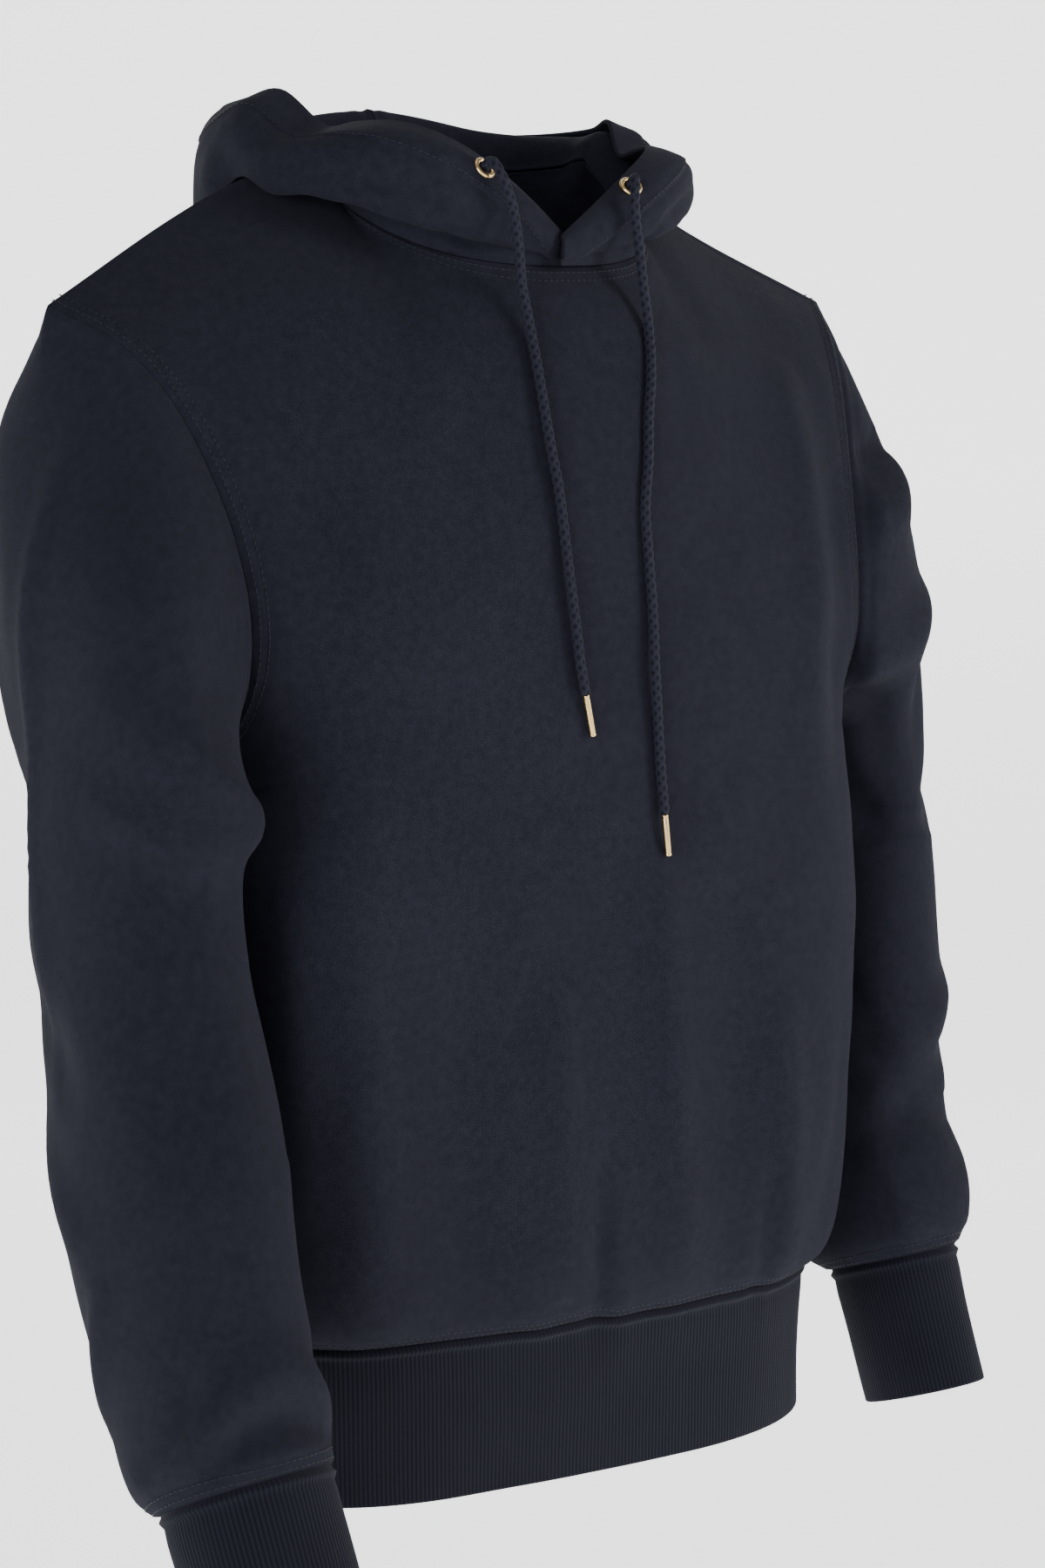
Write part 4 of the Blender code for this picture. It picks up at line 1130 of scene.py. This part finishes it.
def rib_tube(edge, shift, direction, length, taper, swell):
    """A doubled rib tube from its seam to its folded edge: outer and inner walls, and crests."""
    closed_edge = np.concatenate([edge, edge[:1]])
    run_round = run_along(closed_edge)
    count = int(round(run_round[-1] / RIB_PITCH)) * RIB_POINTS
    marks = np.linspace(0, run_round[-1], count, endpoint=False)
    loop = between(run_round, closed_edge, marks)
    pull = between(run_round, np.concatenate([shift, shift[:1]]), marks)
    centre = edge.mean(axis=0)
    shares = np.concatenate([SEAM_SHARES, np.linspace(SEAM_SHARES[-1], RIB_END, RIB_ROWS)[1:],
                             FOLD_SHARES])
    run = shares[:, None] * length
    size = 1 + (taper - 1) * shares[:, None, None]
    grid = centre + (loop - centre) * size + direction * run[..., None]
    grid = grid + pull * (1 - ease(run, PUCKER_REACH))[..., None]
    facing = normals(grid, True)
    crest = np.tile(np.cos(2 * np.pi * np.arange(count) / RIB_POINTS) * 0.5 + 0.5,
                    (len(shares), 1))
    roll = swell * np.exp(-((run - ROLL_AT) / ROLL_WIDTH) ** 2) * ease(run, ROLL_AT)
    groove = SEAM_VALLEY * np.exp(-((run - GROOVE_AT) / GROOVE_WIDTH) ** 2)
    waves = EDGE_WAVE * unevenness(grid, EDGE_SEED) * ease(run, EDGE_WAVE_REACH)
    fold = np.clip((run - (length - FOLD_RADIUS)) / FOLD_RADIUS, 0, 1)
    turn_in = FOLD_RADIUS * (1 - np.sqrt(1 - fold ** 2))
    body = grid + facing * waves[..., None]
    outer = body + facing * (roll - groove - turn_in)[..., None]
    inner = body - facing * (RIB - turn_in)[..., None]
    return outer, inner, crest, run


def rib_piece(name, node, edge, shift, direction, length, taper, swell):
    """A finished rib tube, standing for its solid."""
    outer, inner, crest, run = rib_tube(edge, shift, direction, length, taper, swell)
    piece = shell(name, outer, inner, True, rib_knit)
    outside = np.concatenate([np.ones(crest.shape), np.zeros(crest.shape)])
    outside[:len(crest)] *= ease(run, GROOVE_AT) * np.clip((length - run) / FOLD_RADIUS, 0, 1)
    for attribute, values in (("crest", np.concatenate([crest, crest])), ("outside", outside)):
        layer = piece.data.attributes.new(attribute, "FLOAT", "POINT")
        layer.data.foreach_set("value", values.ravel())
    grown(piece, rib_group, {relief_socket: RIB_RELIEF})
    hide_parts(node)
    return outer


rib_knit = rib_finish()
rib_group, relief_socket = rib_tree(rib_knit)
ribs = {}
for side, word in ((-1, "right"), (1, "left")):
    form, facing, cloth = sleeves[word]
    lean = SLEEVE_RINGS[word][-1][6]
    ribs[word] = rib_piece("cuff_rib_" + word, "cuff_" + word, form[-1], cloth[-1] - form[-1],
                           arm_axis(lean), CUFF_LENGTH, CUFF_TAPER, CUFF_ROLL)
hem_edge = np.concatenate([front[0], back[0, 1:-1]])[::-1]
hem_shift = np.concatenate([front_cloth[0], back_cloth[0, 1:-1]])[::-1] - hem_edge
ribs["hem"] = rib_piece("hem_rib", "hem_band", hem_edge, hem_shift, np.array([0.0, 0.0, -1.0]),
                        HEM_LENGTH, HEM_TAPER, HEM_ROLL)

# ---------------------------------------------------------------------------------------
# Hood: two halves of the same fleece, joined along the crown and lying back. Their front
# edges are turned in over a casing for the drawcord, the left one lapped over the right.
# ---------------------------------------------------------------------------------------
HOOD_CLOTH = 0.0024
HOOD_SECTIONS = (
    # share of neck seam, stand, near, low, belly, rim out, rim up
    (0.00, 0.004, 0.001, 0.005, 0.002, 0.000, 0.014),
    (0.14, 0.010, 0.006, 0.014, 0.013, 0.001, 0.043),
    (0.26, 0.010, 0.015, 0.015, 0.022, 0.002, 0.052),
    (0.36, 0.012, 0.026, 0.008, 0.032, 0.002, 0.043),
    (0.46, 0.013, 0.034, -0.003, 0.042, 0.003, 0.027),
    (0.54, 0.013, 0.036, -0.012, 0.043, 0.010, 0.025),
    (0.62, 0.014, 0.037, -0.030, 0.044, 0.020, 0.024),
    (0.80, 0.022, 0.034, -0.104, 0.050, 0.040, 0.024),
    (0.91, 0.028, 0.038, -0.146, 0.080, 0.066, 0.024),
    (1.00, 0.030, 0.038, -0.158, 0.094, 0.078, 0.024),
)
HOOD_TILT = -0.05
HOOD_ROWS = 14
HOOD_DOWN = 96
HOOD_ACROSS = 104
OVERLAP = 0.006
UNDERLAP = 0.001
LAP_LIFT = 0.0070
LAP_FADE = 0.10
CASING = 0.022
CASING_LIFT = 0.0007
CASING_DIP = 0.0006
CASING_EASE = 0.0022
CASING_STITCH_AT = 0.001
CASING_STITCH_WIDTH = 0.0015
RIM_RADIUS = 0.0011
RIM_FREE = 0.010
HOOD_HOLDS = (0.8, 0.6)
HOOD_FADE = 0.008
HOOD_UNEVEN = 0.6
HOOD_SEED = 41
HOOD_CREASES = {
    "right": (
        # x, y and z of the start, middle and end, width, rise
        (-0.128, 0.015, 0.016, -0.114, -0.010, 0.016, -0.097, -0.045, 0.012, 0.0050, -0.0014),
        (-0.131, 0.018, 0.002, -0.129, 0.026, -0.007, -0.125, 0.035, -0.016, 0.0080, 0.0022),
        (-0.118, -0.030, -0.004, -0.096, -0.066, -0.013, -0.067, -0.086, -0.023, 0.0050, -0.0042),
        (-0.070, -0.080, -0.031, -0.054, -0.076, -0.039, -0.040, -0.082, -0.045, 0.0040, -0.0034),
        (-0.074, -0.084, -0.012, -0.060, -0.086, -0.022, -0.046, -0.088, -0.032, 0.0060, 0.0020),
        (-0.034, -0.090, -0.034, -0.022, -0.092, -0.030, -0.010, -0.092, -0.036, 0.0050, -0.0012),
    ),
    "left": (
        # x, y and z of the start, middle and end, width, rise
        (0.124, -0.004, 0.014, 0.108, -0.036, 0.012, 0.086, -0.066, 0.004, 0.0050, -0.0014),
        (0.112, -0.040, -0.008, 0.090, -0.072, -0.018, 0.062, -0.088, -0.028, 0.0050, -0.0040),
        (0.066, -0.084, -0.032, 0.048, -0.084, -0.042, 0.034, -0.088, -0.048, 0.0040, -0.0030),
        (0.036, -0.094, -0.026, 0.046, -0.090, -0.036, 0.054, -0.086, -0.046, 0.0050, 0.0018),
    ),
}
HOOD_FOLDS = (
    # shares round the neck and up from the seam of start, middle and end, width, rise
    (0.62, 0.58, 0.74, 0.64, 0.88, 0.62, 0.040, 0.0026),
    (0.66, 0.74, 0.80, 0.78, 0.96, 0.74, 0.036, -0.0022),
    (0.70, 0.30, 0.82, 0.36, 0.94, 0.34, 0.040, -0.0024),
)


def hood_section(values):
    """Offsets, out from the neck seam and up, through a hood half from seam to rim."""
    _, stand, near, low, belly, rim_out, rim_up = values
    climb = rim_up - low
    marks = (
        (0.0, 0.0),
        (near * 0.25, stand),
        (near * 0.80, stand * 0.75 + low * 0.05),
        (near * 1.05, low * 0.55 + stand * 0.20),
        (near + (belly - near) * 0.40, low),
        (belly, low + climb * 0.35),
        (belly * 0.80 + rim_out * 0.20, low + climb * 0.78),
        (rim_out, rim_up),
    )
    return smooth(marks, np.linspace(0, 1, 120))


def neck_loop():
    """Half the neck seam, front to back, its outward directions and its shares of length."""
    front_half = neck_line(NECK_FRONT, NECK_COLUMNS + 1)
    back_half = neck_line(NECK_BACK, NECK_COLUMNS + 1)[::-1]
    line = np.concatenate([front_half, back_half[1:]])
    run = np.gradient(line, axis=0)
    outward = unit(np.column_stack([run[:, 1], -run[:, 0], np.zeros(len(line))]))
    outward[0] = 0, -1, 0
    outward[-1] = 0, 1, 0
    length = run_along(line)
    return line, outward, length / length[-1]


def hood_grid(side, lap, lift):
    """A hood half: rows from the neck seam to the rim, columns along the neck seam."""
    line, outward, shares = neck_loop()
    marks = [row[0] for row in HOOD_SECTIONS]
    columns = []
    for point, out, share, values in zip(line, outward, shares,
                                         smooth(HOOD_SECTIONS, shares, marks)):
        near_front = max(0.0, 1 - share / LAP_FADE)
        offsets = even(hood_section(values), HOOD_ROWS)
        column = point + offsets[:, :1] * out
        column[:, 2] += offsets[:, 1] + SEAM_GAP
        tilt = HOOD_TILT * side * point[0]
        column[:, 2] += tilt * np.linspace(0, 1, HOOD_ROWS)
        columns.append(column + np.array([-lap, -lift, 0.0]) * near_front)
    grid = np.array(columns).transpose(1, 0, 2)
    return grid if side > 0 else (grid * (-1, 1, 1))[:, ::-1]


def neck_edge(side, spots):
    """The neck edge of the finished panels, at spots counted from the centre front."""
    middle = HALF_COLUMNS
    fore = between(columns_read, front[-1], middle + side * spots)
    aft = between(columns_read, back[-1], middle - side * (2 * NECK_COLUMNS - spots))
    return np.where((spots <= NECK_COLUMNS)[:, None], fore, aft)


hoods = {}
for side, word, lap, lap_lift in ((-1, "right", UNDERLAP, 0.0), (1, "left", OVERLAP, LAP_LIFT)):
    form = finer(hood_grid(side, lap, lap_lift), HOOD_DOWN, HOOD_ACROSS, False)
    spots, marks = places(2 * NECK_COLUMNS + 1, HOOD_ACROSS)
    neck_seam = neck_loop()[0] * (side, 1, 1)
    shift = neck_edge(side, spots) - smooth(neck_seam, spots, marks)
    shift = shift if side > 0 else shift[::-1]
    form = drawn_to(form, shift[None], reach_down(form), SEAM_DRAW)
    facing = normals(form, False)
    facing[:, -1 if side > 0 else 0, 0] = 0
    facing = unit(facing)
    centre_back = "last_column" if side > 0 else "first_column"
    seams = seam_distances(form, False, ("first_row", centre_back))
    rim = seam_distances(form, False, ("last_row",))[0]
    up = np.linspace(0, 1, form.shape[0])[:, None] * np.ones(form.shape[1])
    round_neck = np.ones(form.shape[0])[:, None] * np.linspace(0, 1, form.shape[1])
    if side < 0:
        round_neck = 1 - round_neck
    lift = folds_over(np.stack([round_neck, up], axis=-1), HOOD_FOLDS)
    lift += folds_over(form, HOOD_CREASES[word])
    lift += HOOD_UNEVEN * UNEVENNESS * unevenness(form, HOOD_SEED + side)
    casing = CASING_LIFT * (1 - ease(rim - CASING, CASING_EASE))
    stitched_at = (rim - CASING - CASING_STITCH_AT) / CASING_STITCH_WIDTH
    stitched = CASING_DIP * np.exp(-stitched_at ** 2)
    turned = np.clip(1 - rim / RIM_RADIUS, 0, 1)
    rolled = RIM_RADIUS * (1 - np.sqrt(1 - turned ** 2))
    cloth = draped(form, facing, seams, HOOD_HOLDS, lift * ease(rim, RIM_FREE), HOOD_FADE)
    cloth = cloth + facing * (casing - stitched)[..., None]
    hood = shell("hood_half_" + word, cloth - facing * rolled[..., None],
                 cloth - facing * (HOOD_CLOTH - rolled)[..., None], False, fleece)
    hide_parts("hood_" + word)
    hoods[word] = form, facing, cloth

# ---------------------------------------------------------------------------------------
# Eyelets: two small rolled brass rings set through the casing, one on each side of the
# hood's opening, for the drawcord to pass through.
# ---------------------------------------------------------------------------------------
EYELET_RADIUS = 0.0046
EYELET_WIRE = 0.0013
EYELET_CLEAR = 0.0007
CORD_CLEAR = 0.0005
EYELET_SEGMENTS = 56
EYELET_SIDES = 18
eyelet_round = np.linspace(0, 2 * np.pi, EYELET_SIDES, endpoint=False)
eyelet_profile = np.column_stack([EYELET_RADIUS + EYELET_WIRE * np.cos(eyelet_round),
                                  EYELET_WIRE * np.sin(eyelet_round)])
for word, route in CORD_ROUTES.items():
    way_out = unit(np.array(route[1]) - np.array(route[0]))
    centre = np.array(route[0]) + way_out * (EYELET_CLEAR + EYELET_WIRE - CORD_CLEAR)
    eyelet_mesh = lathe("brass_eyelet_" + word, centre, way_out, eyelet_profile,
                        EYELET_SEGMENTS, True)
    eyelet = placed("brass_eyelet_" + word, eyelet_mesh, brass)
    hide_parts("eyelet_" + word)

# ---------------------------------------------------------------------------------------
# Seam stitches: two needles' lines of navy polyester thread holding the seam allowances
# down beside the armholes, neck, hem and cuffs, and one line that closes the cord casing.
# ---------------------------------------------------------------------------------------
STITCH_PITCH = 0.0034
STITCH_LENGTH = 0.0025
THREAD_RADIUS = 0.00026
THREAD_SIDES = 6
STITCH_RAISE = 0.00008
NEEDLES = (0.0040, 0.0085)
THREAD_NAVY = (0.0160, 0.0170, 0.0280, 1.0)


def thread_finish():
    """Navy polyester thread, a little glossier than the cloth, uneven from stitch to stitch."""
    material, tree, shader, add = finish_nodes("navy_thread")
    toned(tree, shader, add, RIB_NAVY_DEEP, THREAD_NAVY, noise(add, 900.0, 2.0, 0.6))
    surfaced(shader, Roughness=0.55, Specular_IOR_Level=0.25)
    return material


def stitch_tree(material):
    """Geometry nodes that lay stitches end to end along each line of a wire mesh."""
    group = bpy.data.node_groups.new("seam_stitching", "GeometryNodeTree")
    group.interface.new_socket("Seams", in_out="INPUT", socket_type="NodeSocketGeometry")
    sizes = [group.interface.new_socket(name, in_out="INPUT", socket_type="NodeSocketFloat")
             for name in ("Pitch", "Stitch Length", "Thread Radius")]
    group.interface.new_socket("Stitches", in_out="OUTPUT", socket_type="NodeSocketGeometry")
    nodes, links = group.nodes, group.links
    given = nodes.new("NodeGroupInput")
    curves = nodes.new("GeometryNodeMeshToCurve")
    spots = nodes.new("GeometryNodeCurveToPoints")
    spots.mode = "LENGTH"
    stitch = nodes.new("GeometryNodeMeshCylinder")
    stitch.fill_type = "TRIANGLE_FAN"
    stitch.inputs["Vertices"].default_value = THREAD_SIDES
    laid = nodes.new("GeometryNodeInstanceOnPoints")
    real = nodes.new("GeometryNodeRealizeInstances")
    finish = nodes.new("GeometryNodeSetMaterial")
    finish.inputs["Material"].default_value = material
    out = nodes.new("NodeGroupOutput")
    links.new(given.outputs["Seams"], curves.inputs["Mesh"])
    links.new(curves.outputs["Curve"], spots.inputs["Curve"])
    links.new(given.outputs["Pitch"], spots.inputs["Length"])
    links.new(given.outputs["Stitch Length"], stitch.inputs["Depth"])
    links.new(given.outputs["Thread Radius"], stitch.inputs["Radius"])
    links.new(spots.outputs["Points"], laid.inputs["Points"])
    links.new(stitch.outputs["Mesh"], laid.inputs["Instance"])
    links.new(spots.outputs["Rotation"], laid.inputs["Rotation"])
    links.new(laid.outputs["Instances"], real.inputs["Geometry"])
    links.new(real.outputs["Geometry"], finish.inputs["Geometry"])
    links.new(finish.outputs["Geometry"], out.inputs["Stitches"])
    return group, [socket.identifier for socket in sizes]


def line_beside(cloth, facing, edge, distance):
    """The line on the cloth's face that keeps a distance from one of its edges."""
    raised = cloth + facing * STITCH_RAISE
    if edge.endswith("column"):
        raised = raised.swapaxes(0, 1)
    if edge.startswith("last"):
        raised = raised[::-1]
    down = reach_down(raised)
    return np.array([[np.interp(distance, down[:, spot], raised[:, spot, k]) for k in range(3)]
                     for spot in range(raised.shape[1])])


seam_lines = []
round_neck = np.abs(columns_read - HALF_COLUMNS) <= NECK_COLUMNS
up_armhole = rows_read >= BODY_ROWS - 1
for needle in NEEDLES:
    for cloth, facing in ((front_cloth, front_facing), (back_cloth, back_facing)):
        seam_lines.append(line_beside(cloth, facing, "first_row", needle))
        seam_lines.append(line_beside(cloth, facing, "last_row", needle)[round_neck])
        for edge in ("first_column", "last_column"):
            seam_lines.append(line_beside(cloth, facing, edge, needle)[up_armhole])
    for form, facing, cloth in sleeves.values():
        seam_lines.append(line_beside(cloth, facing, "last_row", needle))
for form, facing, cloth in hoods.values():
    seam_lines.append(line_beside(cloth, facing, "last_row", CASING))
seam_points = np.concatenate(seam_lines)
starts = np.cumsum([0] + [len(line) for line in seam_lines])
seam_edges = [(k, k + 1) for start, stop in zip(starts[:-1], starts[1:])
              for k in range(start, stop - 1)]
seam_mesh = bpy.data.meshes.new("seam_stitches")
seam_mesh.from_pydata(seam_points.tolist(), seam_edges, [])
thread = thread_finish()
stitch_group, stitch_sizes = stitch_tree(thread)
seam_wire = bpy.data.objects.new("seam_wire", seam_mesh)
bpy.context.scene.collection.objects.link(seam_wire)
grown(seam_wire, stitch_group, dict(zip(stitch_sizes,
                                        (STITCH_PITCH, STITCH_LENGTH, THREAD_RADIUS))))
stitches = placed("seam_stitches", seam_wire.data, thread)
bpy.data.objects.remove(seam_wire)
